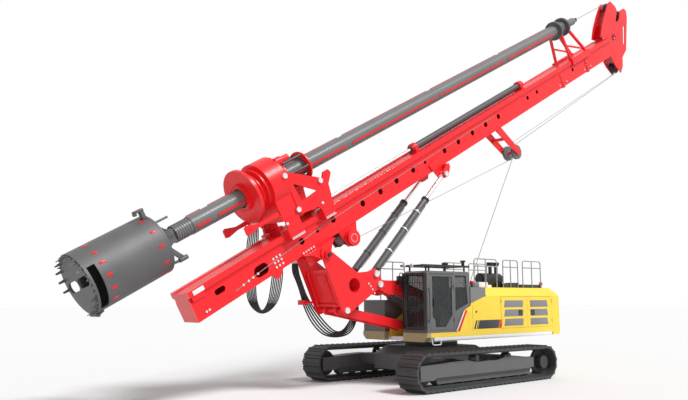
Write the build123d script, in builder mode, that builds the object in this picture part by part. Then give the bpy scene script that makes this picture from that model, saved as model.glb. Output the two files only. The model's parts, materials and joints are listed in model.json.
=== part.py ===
from build123d import *
import os
from math import atan2, cos, degrees, radians, sin

# A rotary piling rig on crawler tracks, its mast laid back over the cab.
# Millimetres. +X points forward, +Y to the cab side, +Z up.
# The origin is on the ground, under the axis on which the upper body slews.

os.makedirs("parts", exist_ok=True)

# Clearances
pin_fit = 0.3
slide_fit = 0.5
running_gap = 8
shoe_gap = 0.5

# Undercarriage
track_gauge = 4100
shoe_width = 800
track_height = 1100
front_wheel_x = 2752
rear_wheel_x = -2775
rear_wheel_drop = 40
shoe_pitch = 230
shoe_thickness = 30
grouser_height = 32
link_depth = 95
link_width = 240
carrier_roller_x = (-1120, 430)
frame_width = 460
frame_low_z = 385
frame_high_z = 780
frame_front_x = 2960
frame_rear_x = -2240
wheel_width = 150
roller_radius = 105
roller_width = 200
roller_count = 9
roller_guard = 40
carrier_radius = 52
drive_arm = 110
drive_hub_radius = 205
beam_x = (-1150, 1150)
beam_size = 340
beam_z = 640
track_retract = 600
carbody_half_width = 980
carbody_half_length = 1560
carbody_low_z = 400
carbody_high_z = 1085
slew_ring_radius = 830
slew_ring_height = 120

# Upper body
deck_low_z = 1276
deck_top_z = 1534
deck_front_x = 1674
deck_rear_x = -4800
upper_half_width = 1366
bay_half_width = 400
tower_inner_y = 295
tower_plate = 45
hood_top_z = 2889
hood_front_x = -1880
hood_wall = 40
shoulder_z = 2620
shoulder_run = 140
door_panel = 40
door_gap = 7
hinge_radius = 14
hinge_pin_radius = 8
hinge_knuckle = 60
hinge_leaf = 8
counterweight_length = 418
counterweight_low_z = 1290
counterweight_chamfer = 300

# Cab
cab_front_x = 1620
cab_rear_x = -330
cab_inner_y = 402
cab_outer_y = 1336
cab_top_z = 3360
cab_wall = 50
cab_roof_depth = 80
door_front_x = 1500
door_rear_x = 430
door_low_z = 1610
door_high_z = 3270
glass_thickness = 8

# Boom linkage: pin centres as (x, z)
boom_root = (50, 2440)
boom_tip = (2830, 2960)
link_tip = (4110, 2220)
luff_root = (440, 2040)
luff_tip = (2430, 2880)
link_root = (
    boom_root[0] + link_tip[0] - boom_tip[0],
    boom_root[1] + link_tip[1] - boom_tip[1],
)
linkage_pin_radius = 65
arm_inner_y = 180
arm_width = 100
luff_lane_y = 92
luff_barrel_radius = 78
luff_rod_radius = 45
luff_barrel_length = 1480

# Mast-tilt frame
frame_plate_inner_y = 545
frame_plate = 50
mast_pivot = (4800, 3740)
mast_pivot_radius = 75
mast_cylinder_foot = (2980, 3260)
mast_cylinder_y = 470
mast_barrel_radius = 112
mast_rod_radius = 70
mast_barrel_length = 3340
cylinder_eye_width = 120
cylinder_eye_radius = 105

# Mast: s runs along the kelly towards the mast's head, h away from the machine
mast_angle = 28.686
kelly_foot = (8541, 4450)
mast_half_width = 353
neck_half_width = 330
cap_front_h = -1350
cap_back_h = -1485
neck_low_h = -1600
mast_rear_h = -2130
mast_wall = 28
mast_low_s = -1250
mast_split_s = 17490
mast_top_s = 22150
mast_flange = 45
flange_lip = 35
flange_drop = 12
upper_flange_s = 19680
rail_half_width = 412
rail_inner_y = 245
rail_front_h = -1330
mast_cylinder_pin = (8700, -2360)
crowd_h = -1205
crowd_radius = 118
crowd_rod_radius = 60
crowd_low_s = 8150
crowd_high_s = 15100
crowd_stroke_down = 2000
crowd_lug_s = 4000

# Kelly and bucket
kelly_radius = 238
kelly_bore = 205
kelly_key = 24
kelly_low_s = -740
ribbed_high_s = -240
kelly_high_s = 18600
middle_radius = 198
middle_bore = 160
middle_low_s = kelly_low_s - 15
core_radius = 152
core_low_s = middle_low_s - 15
core_high_s = 20250
swivel_eye_s = 20520
guide_low_s = kelly_high_s + pin_fit
guide_high_s = 19560
stub_size = 200
stub_low_s = -1400
box_top_s = core_low_s - pin_fit
shell_top_s = -1270
rim_low_s = -3240
window_top_s = -3040
bucket_radius = 750
bucket_wall = 30
bucket_floor = 60

# Rotary drive on its sled
disc_s = 1560
disc_radius = 745
disc_thickness = 95
drive_low_s = 2040
drive_high_s = 2620
sled_plate_y = 560
sled_plate = 45
case_radius = 700
case_low_h = -1000
sleeve_bore = kelly_radius + kelly_key + running_gap
sleeve_outer = sleeve_bore + 70
cage_low_s = 2900
cage_high_s = 3700
cage_radius = 430

# Winches
main_drum_centre = (-1430, 2450)
main_drum_radius = 290
aux_drum_place = (4170, -2480)
aux_drum_radius = 215


def side(y):
    """The plane at y across the machine, x forward and z up."""
    return Plane(origin=(0, y, 0), x_dir=(1, 0, 0), z_dir=(0, -1, 0))


mast_run = (-cos(radians(mast_angle)), 0, sin(radians(mast_angle)))
mast_out = (sin(radians(mast_angle)), 0, cos(radians(mast_angle)))


def on_mast(s, h, y=0):
    """A place on the mast: s along the kelly, h off its axis, y across."""
    return Vector(
        kelly_foot[0] + s * mast_run[0] + h * mast_out[0],
        y,
        kelly_foot[1] + s * mast_run[2] + h * mast_out[2],
    )


def mast_side(y):
    """The plane at y in which s is across the page and h is up it."""
    return Plane(origin=on_mast(0, 0, y), x_dir=mast_run, z_dir=(0, 1, 0))


def mast_cross(s, h=0):
    """The plane square to the mast at s: -y across the page and h up it."""
    return Plane(origin=on_mast(s, h), x_dir=(0, -1, 0), z_dir=mast_run)


def plate(outline, plane, thickness, mode=Mode.ADD):
    """A flat plate of an outline, centred on its plane."""
    with BuildSketch(plane) as shape:
        with BuildLine():
            Polyline(*outline, close=True)
        make_face()
    extrude(shape.sketch, amount=thickness / 2, both=True, mode=mode)


def block(low, high, mode=Mode.ADD):
    """A box between two corners."""
    size = [b - a for a, b in zip(low, high)]
    with Locations(Vector(*low)):
        Box(*size, align=(Align.MIN,) * 3, mode=mode)


def bar(start, end, radius, mode=Mode.ADD):
    """A round bar between two points."""
    start, end = Vector(start), Vector(end)
    with BuildSketch(Plane(origin=start, z_dir=end - start)) as section:
        Circle(radius)
    extrude(section.sketch, amount=(end - start).length, mode=mode)


def tube(start, end, outer, inner):
    """A round tube between two points."""
    bar(start, end, outer)
    bar(start, end, inner, Mode.SUBTRACT)


def beam(start, end, width, depth):
    """A rectangular bar between two points in one plane across y."""
    start, end = Vector(start), Vector(end)
    run = end - start
    with BuildSketch(Plane(origin=start, x_dir=(0, 1, 0), z_dir=run)) as section:
        Rectangle(width, depth)
    extrude(section.sketch, amount=run.length)


def cross_pin(place, y_low, y_high, radius, mode=Mode.ADD):
    """A pin across the machine at (x, z)."""
    bar((place[0], y_low, place[1]), (place[0], y_high, place[1]), radius, mode)


def mast_pin(place, y_low, y_high, radius, mode=Mode.ADD):
    """A pin across the machine at (s, h) on the mast."""
    bar(on_mast(*place, y_low), on_mast(*place, y_high), radius, mode)


def across(x):
    """The plane at x along the machine, y across the page and z up it."""
    return Plane(origin=(x, 0, 0), x_dir=(0, 1, 0), z_dir=(1, 0, 0))


def hinge_pins(x, face_y, places_z, leaf_x):
    """The fixed half of a hinge on a wall at face_y: pins between knuckles, on a leaf."""
    out = 1 if face_y > 0 else -1
    y = face_y + out * (hinge_radius + 2)
    for z in places_z:
        end = hinge_knuckle / 2 + pin_fit
        bar((x, y, z - end - hinge_knuckle / 2), (x, y, z + end + hinge_knuckle / 2), hinge_pin_radius)
        for low_z in (z - end - hinge_knuckle / 2, z + end):
            bar((x, y, low_z), (x, y, low_z + hinge_knuckle / 2), hinge_radius)
            low_x, high_x = sorted((x, leaf_x))
            low_y, high_y = sorted((face_y, face_y + out * hinge_leaf))
            block((low_x, low_y, low_z), (high_x, high_y, low_z + hinge_knuckle / 2))


def hinge_knuckles(x, face_y, places_z, leaf_x):
    """The door's half of a hinge: bored knuckles on leaves."""
    out = 1 if face_y > 0 else -1
    y = face_y + out * (hinge_radius + 2)
    for z in places_z:
        low_z, high_z = z - hinge_knuckle / 2, z + hinge_knuckle / 2
        bar((x, y, low_z), (x, y, high_z), hinge_radius)
        low_x, high_x = sorted((x, leaf_x))
        low_y, high_y = sorted((face_y, face_y + out * hinge_leaf))
        block((low_x, low_y, low_z), (high_x, high_y, high_z))
        bar((x, y, low_z), (x, y, high_z), hinge_pin_radius + pin_fit, Mode.SUBTRACT)


def mirrored(part):
    """The same part for the right side."""
    with BuildPart() as other:
        add(mirror(part, about=Plane.XZ))
    return other.part


def save(part, name):
    part.label = name
    export_step(part, f"parts/{name}.step")


# Tracks: an idler in front, a sprocket behind and rollers between
front_radius = track_height / 2
rear_radius = track_height / 2 - rear_wheel_drop / 2
front_wheel_z = front_radius
rear_wheel_z = rear_radius
top_run_slope = atan2(rear_wheel_drop, front_wheel_x - rear_wheel_x)


def track_loop(inset):
    """The closed centre line of the track, inset from the shoes' outer faces."""
    front, rear = front_radius - inset, rear_radius - inset
    lean = Vector(sin(-top_run_slope), cos(top_run_slope))
    with BuildLine() as loop:
        bottom = Line((rear_wheel_x, inset), (front_wheel_x, inset))
        front_top = Vector(front_wheel_x, front_wheel_z) + lean * front
        rear_top = Vector(rear_wheel_x, rear_wheel_z) + lean * rear
        ThreePointArc(bottom @ 1, (front_wheel_x + front, front_wheel_z), front_top)
        Line(front_top, rear_top)
        ThreePointArc(rear_top, (rear_wheel_x - rear, rear_wheel_z), bottom @ 0)
    return loop.wire()


# Each shoe's outline: share of the pitch, height over the plate's inner face
shoe_profile = (
    (0.02, -link_depth * 0.25),
    (0.05, shoe_thickness),
    (0.40, shoe_thickness),
    (0.46, shoe_thickness + grouser_height),
    (0.56, shoe_thickness + grouser_height),
    (0.62, shoe_thickness),
    (0.95, shoe_thickness),
    (0.98, -link_depth * 0.25),
)

shoe_base = shoe_thickness + grouser_height
base_loop = track_loop(shoe_base)
shoe_count = round(base_loop.length / shoe_pitch)
shoe_outline = []
for shoe in range(shoe_count):
    for share, height in shoe_profile:
        place = (shoe + share) / shoe_count
        tangent = base_loop % place
        outward = Vector(tangent.Y, -tangent.X)
        shoe_outline.append(base_loop @ place + outward * height)

track_y = track_gauge / 2


def make_track(hand):
    with BuildPart() as track:
        with BuildSketch(side(hand * track_y)) as shoes:
            with BuildLine():
                Polyline(*shoe_outline, close=True)
            make_face()
            make_face(track_loop(shoe_base + link_depth * 0.4).edges(), mode=Mode.SUBTRACT)
        extrude(shoes.sketch, amount=shoe_width / 2, both=True)
        with BuildSketch(side(hand * track_y)) as links:
            make_face(track_loop(shoe_base + link_depth * 0.3).edges())
            make_face(track_loop(shoe_base + link_depth).edges(), mode=Mode.SUBTRACT)
        extrude(links.sketch, amount=link_width / 2, both=True)
    return track.part


track_left = make_track(1)
save(track_left, "track_left")
save(mirrored(track_left), "track_right")

# Side frames with their forks, roller guards and telescopic beams
wheel_inset = shoe_base + link_depth + slide_fit
front_wheel_radius = front_radius - wheel_inset
rear_wheel_radius = rear_radius - wheel_inset
roller_z = wheel_inset + roller_radius
roller_x = [
    frame_rear_x + 190 + (frame_front_x - frame_rear_x - 1050) * k / (roller_count - 1)
    for k in range(roller_count)
]
frame_outline = (
    (frame_front_x, frame_low_z - 60),
    (frame_front_x, frame_high_z - 45),
    (2050, frame_high_z - 20),
    (1650, frame_high_z),
    (1000, frame_high_z + 10),
    (600, frame_high_z - 60),
    (-400, frame_high_z - 60),
    (-800, frame_high_z + 10),
    (-1400, frame_high_z + 10),
    (frame_rear_x, frame_high_z - 80),
    (frame_rear_x, frame_low_z + 40),
    (-1950, frame_low_z),
    (2300, frame_low_z),
    (2420, frame_low_z - 60),
)
roller_guard_z = roller_z - 60


def carrier_z(x):
    """The height of a carrier roller's axle under the sloping top run."""
    slope = rear_wheel_drop / (front_wheel_x - rear_wheel_x)
    return track_height - (front_wheel_x - x) * slope - wheel_inset - carrier_radius - slide_fit


drive_arm_y = track_y - wheel_width / 2 - drive_arm / 2 - 40


def make_track_frame(hand):
    """The side frame, the forks for its wheels, the roller guards and its beams."""
    centre = hand * track_y
    with BuildPart() as frame:
        plate(frame_outline, side(centre), frame_width)
        fork = wheel_width / 2 + slide_fit
        block(
            (front_wheel_x - front_wheel_radius - running_gap, centre - fork, 0),
            (frame_front_x, centre + fork, track_height),
            Mode.SUBTRACT,
        )
        for guard in (-1, 1):
            guard_y = centre + guard * (roller_width / 2 + slide_fit + roller_guard / 2)
            plate(
                (
                    (roller_x[0] - 150, frame_low_z),
                    (roller_x[0] - 90, roller_guard_z),
                    (roller_x[-1] + 90, roller_guard_z),
                    (roller_x[-1] + 150, frame_low_z),
                ),
                side(guard_y),
                roller_guard,
            )
            for x in carrier_roller_x:
                plate(
                    (
                        (x - 110, frame_high_z - 70),
                        (x - 50, carrier_z(x) + 20),
                        (x + 50, carrier_z(x) + 20),
                        (x + 110, frame_high_z - 70),
                    ),
                    side(guard_y),
                    roller_guard,
                )
        plate(
            (
                (frame_rear_x + 60, frame_low_z + 60),
                (frame_rear_x + 60, 690),
                (rear_wheel_x, rear_wheel_z + 150),
                (rear_wheel_x - 150, rear_wheel_z),
                (rear_wheel_x, rear_wheel_z - 150),
            ),
            side(hand * drive_arm_y),
            drive_arm,
        )
        beam_reach = track_y - frame_width / 2
        for x in beam_x:
            with Locations((x, hand * (beam_reach + beam_inner_y) / 2, beam_z)):
                Box(beam_size, beam_reach - beam_inner_y, beam_size)
    return frame.part


beam_inner_y = track_retract + 40
save(make_track_frame(1), "track_frame_left")
save(make_track_frame(-1), "track_frame_right")


def make_wheels(hand):
    """The idler, the sprocket with its final drive, and the rollers of one track."""
    centre = hand * track_y
    half = wheel_width / 2
    with BuildPart() as wheels:
        cross_pin((front_wheel_x, front_wheel_z), centre - half, centre + half, front_wheel_radius)
        inner = hand * (drive_arm_y + drive_arm / 2 + slide_fit)
        outer = hand * (track_y + frame_width / 2 + 20)
        hub = (rear_wheel_x, rear_wheel_z)
        cross_pin(hub, inner, outer, drive_hub_radius)
        cross_pin(hub, centre - half / 2, centre + half / 2, rear_wheel_radius)
        reach = roller_width / 2
        for x in roller_x:
            cross_pin((x, roller_z), centre - reach, centre + reach, roller_radius)
        for x in carrier_roller_x:
            cross_pin((x, carrier_z(x)), centre - reach, centre + reach, carrier_radius)
    return wheels.part


save(make_wheels(1), "track_wheels_left")
save(make_wheels(-1), "track_wheels_right")

# Carbody: a box with two sleeves across it for the beams
sleeve_wall = 45
sleeve_half = beam_size / 2 + slide_fit
carbody_outline = (
    (carbody_half_length, carbody_low_z),
    (carbody_half_length, 860),
    (1000, carbody_high_z),
    (-1000, carbody_high_z),
    (-carbody_half_length, 860),
    (-carbody_half_length, carbody_low_z),
)

with BuildPart() as carbody:
    plate(carbody_outline, side(0), 2 * carbody_half_width)
    for x in beam_x:
        block(
            (x - sleeve_half, -carbody_half_width, beam_z - sleeve_half),
            (x + sleeve_half, carbody_half_width, beam_z + sleeve_half),
            Mode.SUBTRACT,
        )
    block(
        (-beam_x[1] + 400, -carbody_half_width, carbody_low_z),
        (beam_x[1] - 400, carbody_half_width, 560),
        Mode.SUBTRACT,
    )
save(carbody.part, "carbody")

ring_top = carbody_high_z + slew_ring_height
with BuildPart() as slew_ring:
    tube((0, 0, carbody_high_z), (0, 0, ring_top), slew_ring_radius, slew_ring_radius - 150)
save(slew_ring.part, "slew_ring")

# Upper body: the deck with the linkage's towers, over a running gap above the ring
deck_gap = slide_fit
tower_outer_y = tower_inner_y + tower_plate
tower_outline = (
    (link_root[0] + 190, deck_low_z + 60),
    (link_root[0] + 150, link_root[1] + 60),
    (boom_root[0] + 190, boom_root[1] + 60),
    (boom_root[0] + 80, boom_root[1] + 150),
    (boom_root[0] - 110, boom_root[1] + 130),
    (boom_root[0] - 420, deck_top_z + 500),
    (boom_root[0] - 900, deck_low_z + 60),
)
platform_chamfer = 130

with BuildPart() as deck:
    block((deck_rear_x, -bay_half_width, deck_low_z), (700, bay_half_width, deck_low_z + 120))
    for hand in (1, -1):
        near, far = sorted((hand * bay_half_width, hand * upper_half_width))
        block((deck_rear_x, near, deck_low_z), (deck_front_x, far, deck_top_z))
        plate(tower_outline, side(hand * (tower_inner_y + tower_plate / 2)), tower_plate)
        bridge = sorted((hand * tower_outer_y, hand * bay_half_width))
        block((-800, bridge[0], deck_low_z + 60), (700, bridge[1], deck_top_z))
    # the beam ahead of the ring that ties the towers to both platforms
    block((700, -bay_half_width, deck_low_z), (deck_front_x - 200, bay_half_width, deck_low_z + 120))
    with BuildSketch(Plane.XY.offset(ring_top + deck_gap)) as seat:
        Circle(slew_ring_radius - 20)
    extrude(seat.sketch, amount=deck_low_z - ring_top - deck_gap)
    for place in (boom_root, link_root):
        cross_pin(place, -tower_outer_y, tower_outer_y, linkage_pin_radius)
    cross_pin(luff_root, -tower_outer_y, tower_outer_y, linkage_pin_radius - 15)
    low_edges = deck.edges().filter_by(Axis.X).filter_by_position(Axis.Z, deck_low_z - 1, deck_low_z + 1)
    chamfer(low_edges.sort_by(Axis.Y)[0], platform_chamfer)
    chamfer(low_edges.sort_by(Axis.Y)[-1], platform_chamfer)
save(deck.part, "deck")


def bevelled(outline_side, low_y, high_y):
    """A panel between two values of y with a side outline."""
    plate(outline_side, side((low_y + high_y) / 2), high_y - low_y)


# Cab: a hollow shell with its windows cut, open where the door hangs
cab_outline = (
    (cab_front_x, deck_top_z),
    (cab_front_x, cab_top_z - 60),
    (cab_front_x - 90, cab_top_z),
    (cab_rear_x + 70, cab_top_z),
    (cab_rear_x, cab_top_z - 60),
    (cab_rear_x, deck_top_z),
)
quarter_window = ((350, 3240), (-170, 3240), (-240, 2380), (350, 2160))
front_window = (cab_inner_y + 90, 1700, cab_outer_y - 90, 3230)
rear_window = (cab_inner_y + 120, 2500, cab_outer_y - 120, 3200)
right_window = (460, 2350, 1450, 3220)
roof_window = (700, cab_inner_y + 180, 1350, cab_outer_y - 180)

cab_mid_y = (cab_inner_y + cab_outer_y) / 2
cab_floor_z = deck_top_z + cab_wall
roof_low_z = cab_top_z - cab_roof_depth
door_hinge_x = door_rear_x - 3
door_hinge_z = (1900, 2900)

with BuildPart() as cab_floor:
    block((cab_rear_x, cab_inner_y, deck_top_z), (cab_front_x, cab_outer_y, cab_floor_z))
save(cab_floor.part, "cab_floor")

with BuildPart() as cab_roof:
    plate(cab_outline, side(cab_mid_y), cab_outer_y - cab_inner_y)
    block(
        (cab_rear_x, cab_inner_y, deck_top_z),
        (cab_front_x, cab_outer_y, roof_low_z),
        Mode.SUBTRACT,
    )
    x0, y0, x1, y1 = roof_window
    block((x0, y0, roof_low_z), (x1, y1, cab_top_z), Mode.SUBTRACT)
save(cab_roof.part, "cab_roof")

with BuildPart() as cab_shell:
    block((cab_rear_x, cab_inner_y, cab_floor_z), (cab_front_x, cab_outer_y, roof_low_z))
    block(
        (cab_rear_x + cab_wall, cab_inner_y + cab_wall, cab_floor_z),
        (cab_front_x - cab_wall, cab_outer_y - cab_wall, roof_low_z),
        Mode.SUBTRACT,
    )
    block(
        (door_rear_x - door_gap, cab_outer_y - cab_wall, door_low_z - door_gap),
        (door_front_x + door_gap, cab_outer_y, roof_low_z),
        Mode.SUBTRACT,
    )
    y0, z0, y1, z1 = front_window
    block((cab_front_x - cab_wall, y0, z0), (cab_front_x, y1, z1), Mode.SUBTRACT)
    y0, z0, y1, z1 = rear_window
    block((cab_rear_x, y0, z0), (cab_rear_x + cab_wall, y1, z1), Mode.SUBTRACT)
    x0, z0, x1, z1 = right_window
    block((x0, cab_inner_y, z0), (x1, cab_inner_y + cab_wall, z1), Mode.SUBTRACT)
    plate(quarter_window, side(cab_outer_y - cab_wall / 2), cab_wall, Mode.SUBTRACT)
    hinge_pins(door_hinge_x, cab_outer_y, door_hinge_z, door_rear_x - 60)
save(cab_shell.part, "cab_shell")

with BuildPart() as cab_glass:
    y0, z0, y1, z1 = front_window
    block((cab_front_x - 30, y0, z0), (cab_front_x - 30 + glass_thickness, y1, z1))
    y0, z0, y1, z1 = rear_window
    block((cab_rear_x + 20, y0, z0), (cab_rear_x + 20 + glass_thickness, y1, z1))
    x0, z0, x1, z1 = right_window
    block((x0, cab_inner_y + 20, z0), (x1, cab_inner_y + 20 + glass_thickness, z1))
    x0, y0, x1, y1 = roof_window
    block((x0, y0, cab_top_z - 40), (x1, y1, cab_top_z - 40 + glass_thickness))
    plate(quarter_window, side(cab_outer_y - 24), glass_thickness)
save(cab_glass.part, "cab_glass")

door_window = (
    (1390, 3200),
    (500, 3200),
    (500, 2030),
    (800, 1700),
    (1260, 1700),
    (1260, 1880),
    (1390, 2030),
)
with BuildPart() as cab_door:
    block(
        (door_rear_x, cab_outer_y - door_panel, door_low_z),
        (door_front_x, cab_outer_y, door_high_z),
    )
    plate(door_window, side(cab_outer_y - door_panel / 2), door_panel, Mode.SUBTRACT)
    hinge_knuckles(door_hinge_x, cab_outer_y, door_hinge_z, door_rear_x + 60)
save(cab_door.part, "cab_door")

with BuildPart() as door_glass:
    plate(door_window, side(cab_outer_y - 22), glass_thickness)
save(door_glass.part, "door_glass")

seat_centre = (620, cab_mid_y)
with BuildPart() as cab_interior:
    floor_z = cab_floor_z
    x, y = seat_centre
    block((x - 200, y - 170, floor_z), (x + 200, y + 170, floor_z + 330))
    block((x - 260, y - 245, floor_z + 330), (x + 280, y + 245, floor_z + 470))
    backrest = (
        (x - 200, floor_z + 470),
        (x - 60, floor_z + 470),
        (x - 160, floor_z + 1220),
        (x - 290, floor_z + 1220),
    )
    plate(backrest, side(y), 480)
    for hand in (1, -1):
        arm_y = y + hand * 310
        block((x - 200, arm_y - 60, floor_z), (x + 330, arm_y + 60, floor_z + 620))
    console_high = (cab_front_x - 170, cab_inner_y + 250, floor_z + 900)
    block((cab_front_x - 330, cab_inner_y + cab_wall, floor_z), console_high)
save(cab_interior.part, "cab_interior")

# The cab's guards: a barred front frame and a deck over the roof
guard_x = cab_front_x + 45
guard_bar = 14
guard_low_z, guard_high_z = 1620, 3300
guard_low_y, guard_high_y = cab_inner_y + 8, cab_outer_y - 30
roof_guard_z = 3490
with BuildPart() as cab_guards:
    frame_bar = 40
    for z in (guard_low_z, guard_high_z - frame_bar):
        block((guard_x, guard_low_y, z), (guard_x + frame_bar, guard_high_y, z + frame_bar))
    for y in (guard_low_y, guard_high_y - frame_bar):
        block((guard_x, y, guard_low_z), (guard_x + frame_bar, y + frame_bar, guard_high_z))
        for z in (guard_low_z + 60, guard_high_z - 140):
            block((cab_front_x, y, z), (guard_x, y + frame_bar, z + frame_bar))
    upright_count = 9
    for k in range(1, upright_count):
        y = guard_low_y + (guard_high_y - guard_low_y) * k / upright_count
        block((guard_x + 8, y, guard_low_z), (guard_x + 8 + guard_bar, y + guard_bar, guard_high_z))
    for z in (2150, 2600, 3000):
        block((guard_x + 8, guard_low_y, z), (guard_x + 8 + guard_bar, guard_high_y, z + guard_bar))
    for x in (cab_front_x - 200, 700, cab_rear_x + 120):
        for y in (cab_inner_y + 60, cab_outer_y - 100):
            block((x, y, cab_top_z), (x + frame_bar, y + frame_bar, roof_guard_z))
    for y in (cab_inner_y + 10, cab_outer_y - 60):
        block((cab_rear_x - 40, y, roof_guard_z), (cab_front_x + 160, y + 50, roof_guard_z + 60))
    roof_bar_count = 14
    for k in range(roof_bar_count + 1):
        x = cab_rear_x - 40 + (cab_front_x + 200 - cab_rear_x - 40) * k / roof_bar_count
        block((x, cab_inner_y + 10, roof_guard_z + 10), (x + frame_bar, cab_outer_y - 10, roof_guard_z + 50))
save(cab_guards.part, "cab_guards")

# Hood: the engine bay's shell with its sloped shoulders, the locker behind the cab and
# its sloping cheek
bay_low_z = deck_top_z
hood_rear_x = deck_rear_x
locker_front_x = cab_rear_x - 40
locker_square_x = -1120
cheek_wall = 24
service_door_low_z = 1585
service_door_high_z = shoulder_z - 25
service_hinge_z = (1800, 2450)
service_doors = {
    # low x, high x, hand, whether the hinge is at the high x
    "service_door_front": (-3320, hood_front_x - 8, 1, True),
    "service_door_rear": (hood_rear_x + 45, -3330, 1, False),
    "service_door_right": (-3320, hood_front_x - 48, -1, True),
}


def body_section(inset, low_z):
    """The engine bay's cross-section, inset from its outer faces."""
    half = upper_half_width - inset
    top_half = upper_half_width - shoulder_run - inset * 0.6
    return (
        (half, low_z),
        (half, shoulder_z - inset * 0.4),
        (top_half, hood_top_z - inset),
        (-top_half, hood_top_z - inset),
        (-half, shoulder_z - inset * 0.4),
        (-half, low_z),
    )


def along_x(section, low_x, high_x, mode=Mode.ADD):
    """A cross-section carried along the machine."""
    with BuildSketch(across(low_x)) as shape:
        with BuildLine():
            Polyline(*section, close=True)
        make_face()
    extrude(shape.sketch, amount=high_x - low_x, mode=mode)


def service_hinge_x(low_x, high_x, at_high):
    if at_high:
        return high_x + 3
    return low_x - 3


cheek_outline = (
    (310, bay_low_z),
    (-50, 2190),
    (-1070, shoulder_z - 10),
    (hood_front_x, shoulder_z - 10),
    (hood_front_x, bay_low_z),
)
locker_section = (
    (bay_half_width + 15, bay_low_z),
    (upper_half_width - cheek_wall, bay_low_z),
    (upper_half_width - cheek_wall, shoulder_z - 10),
    (upper_half_width, shoulder_z - 10),
    (upper_half_width, shoulder_z),
    (upper_half_width - shoulder_run, hood_top_z),
    (bay_half_width + 15, hood_top_z),
)
with BuildPart() as hood:
    along_x(body_section(0, bay_low_z), hood_rear_x, hood_front_x)
    along_x(
        body_section(hood_wall, bay_low_z),
        hood_rear_x + hood_wall,
        hood_front_x - hood_wall,
        Mode.SUBTRACT,
    )
    for low_x, high_x, hand, at_high in service_doors.values():
        near, far = sorted((hand * (upper_half_width - hood_wall), hand * upper_half_width))
        block(
            (low_x - door_gap, near, service_door_low_z - door_gap),
            (high_x + door_gap, far, service_door_high_z + door_gap),
            Mode.SUBTRACT,
        )
    bevelled(cheek_outline, upper_half_width - cheek_wall, upper_half_width)
    along_x(locker_section, hood_front_x, locker_square_x)
    block(
        (locker_square_x, bay_half_width + 15, bay_low_z),
        (locker_front_x, upper_half_width - cheek_wall, hood_top_z),
    )
    for low_x, high_x, hand, at_high in service_doors.values():
        x = service_hinge_x(low_x, high_x, at_high)
        outward = 1 if at_high else -1
        hinge_pins(x, hand * upper_half_width, service_hinge_z, x + outward * 38)
save(hood.part, "hood")

# Service doors: two columns of pressed louvres, one to each door, with slanted ends
louvre_rows = (1680, 1980, 2275)
louvre_height = 185
louvre_slats = 4
louvre_slit = 26
louvre_slant = 45
for name, (low_x, high_x, hand, at_high) in service_doors.items():
    with BuildPart() as door:
        near, far = sorted((hand * (upper_half_width - door_panel), hand * upper_half_width))
        block((low_x, near, service_door_low_z), (high_x, far, service_door_high_z))
        panel_mid_y = (near + far) / 2
        lean = -louvre_slant if at_high else louvre_slant
        for low_z in louvre_rows:
            for slat in range(louvre_slats):
                z = low_z + slat * louvre_height / louvre_slats
                shift = lean * slat / louvre_slats
                slit = (
                    (low_x + 250 + shift, z),
                    (high_x - 170 + shift, z),
                    (high_x - 170 + shift, z + louvre_slit),
                    (low_x + 250 + shift, z + louvre_slit),
                )
                plate(slit, side(panel_mid_y), door_panel, Mode.SUBTRACT)
        x = service_hinge_x(low_x, high_x, at_high)
        inward = -1 if at_high else 1
        hinge_knuckles(x, hand * upper_half_width, service_hinge_z, x + inward * 60)
    save(door.part, name)

engine_length, engine_half_width, engine_height = 1400, 420, 1050
with BuildPart() as engine_block:
    block(
        (-3650, -engine_half_width, bay_low_z),
        (-3650 + engine_length, engine_half_width, bay_low_z + engine_height),
    )
save(engine_block.part, "engine_block")

counterweight_rear_x = deck_rear_x - counterweight_length
counterweight_outline = (
    (deck_rear_x, counterweight_low_z),
    (deck_rear_x, hood_top_z),
    (deck_rear_x - 60, hood_top_z),
    (counterweight_rear_x + 25, hood_top_z - counterweight_chamfer + 60),
    (counterweight_rear_x, hood_top_z - counterweight_chamfer - 60),
    (counterweight_rear_x, counterweight_low_z + 60),
    (counterweight_rear_x + 60, counterweight_low_z),
)
with BuildPart() as counterweight:
    plate(counterweight_outline, side(0), 2 * upper_half_width)
    # the shoulders go on round it
    for hand in (1, -1):
        half = hand * upper_half_width
        along_x(
            (
                (half, shoulder_z),
                (half, hood_top_z),
                (half - hand * shoulder_run, hood_top_z),
            ),
            counterweight_rear_x,
            deck_rear_x,
            Mode.SUBTRACT,
        )
save(counterweight.part, "counterweight")

# Right house: the front locker, the fuel tank and the oil tank
right_boxes = (
    # front x, rear x, top z
    (1640, 620, 2500),
    (600, -600, 2640),
    (-620, hood_front_x, 2760),
)
with BuildPart() as right_house:
    for front, rear, top in right_boxes:
        block((rear, -upper_half_width, deck_top_z), (front, -bay_half_width - 15, top))
    tank_edges = right_house.edges().filter_by(Axis.X).group_by(Axis.Z)[-1]
    chamfer(tank_edges.sort_by(Axis.Y)[0], 60)
save(right_house.part, "right_house")

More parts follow.
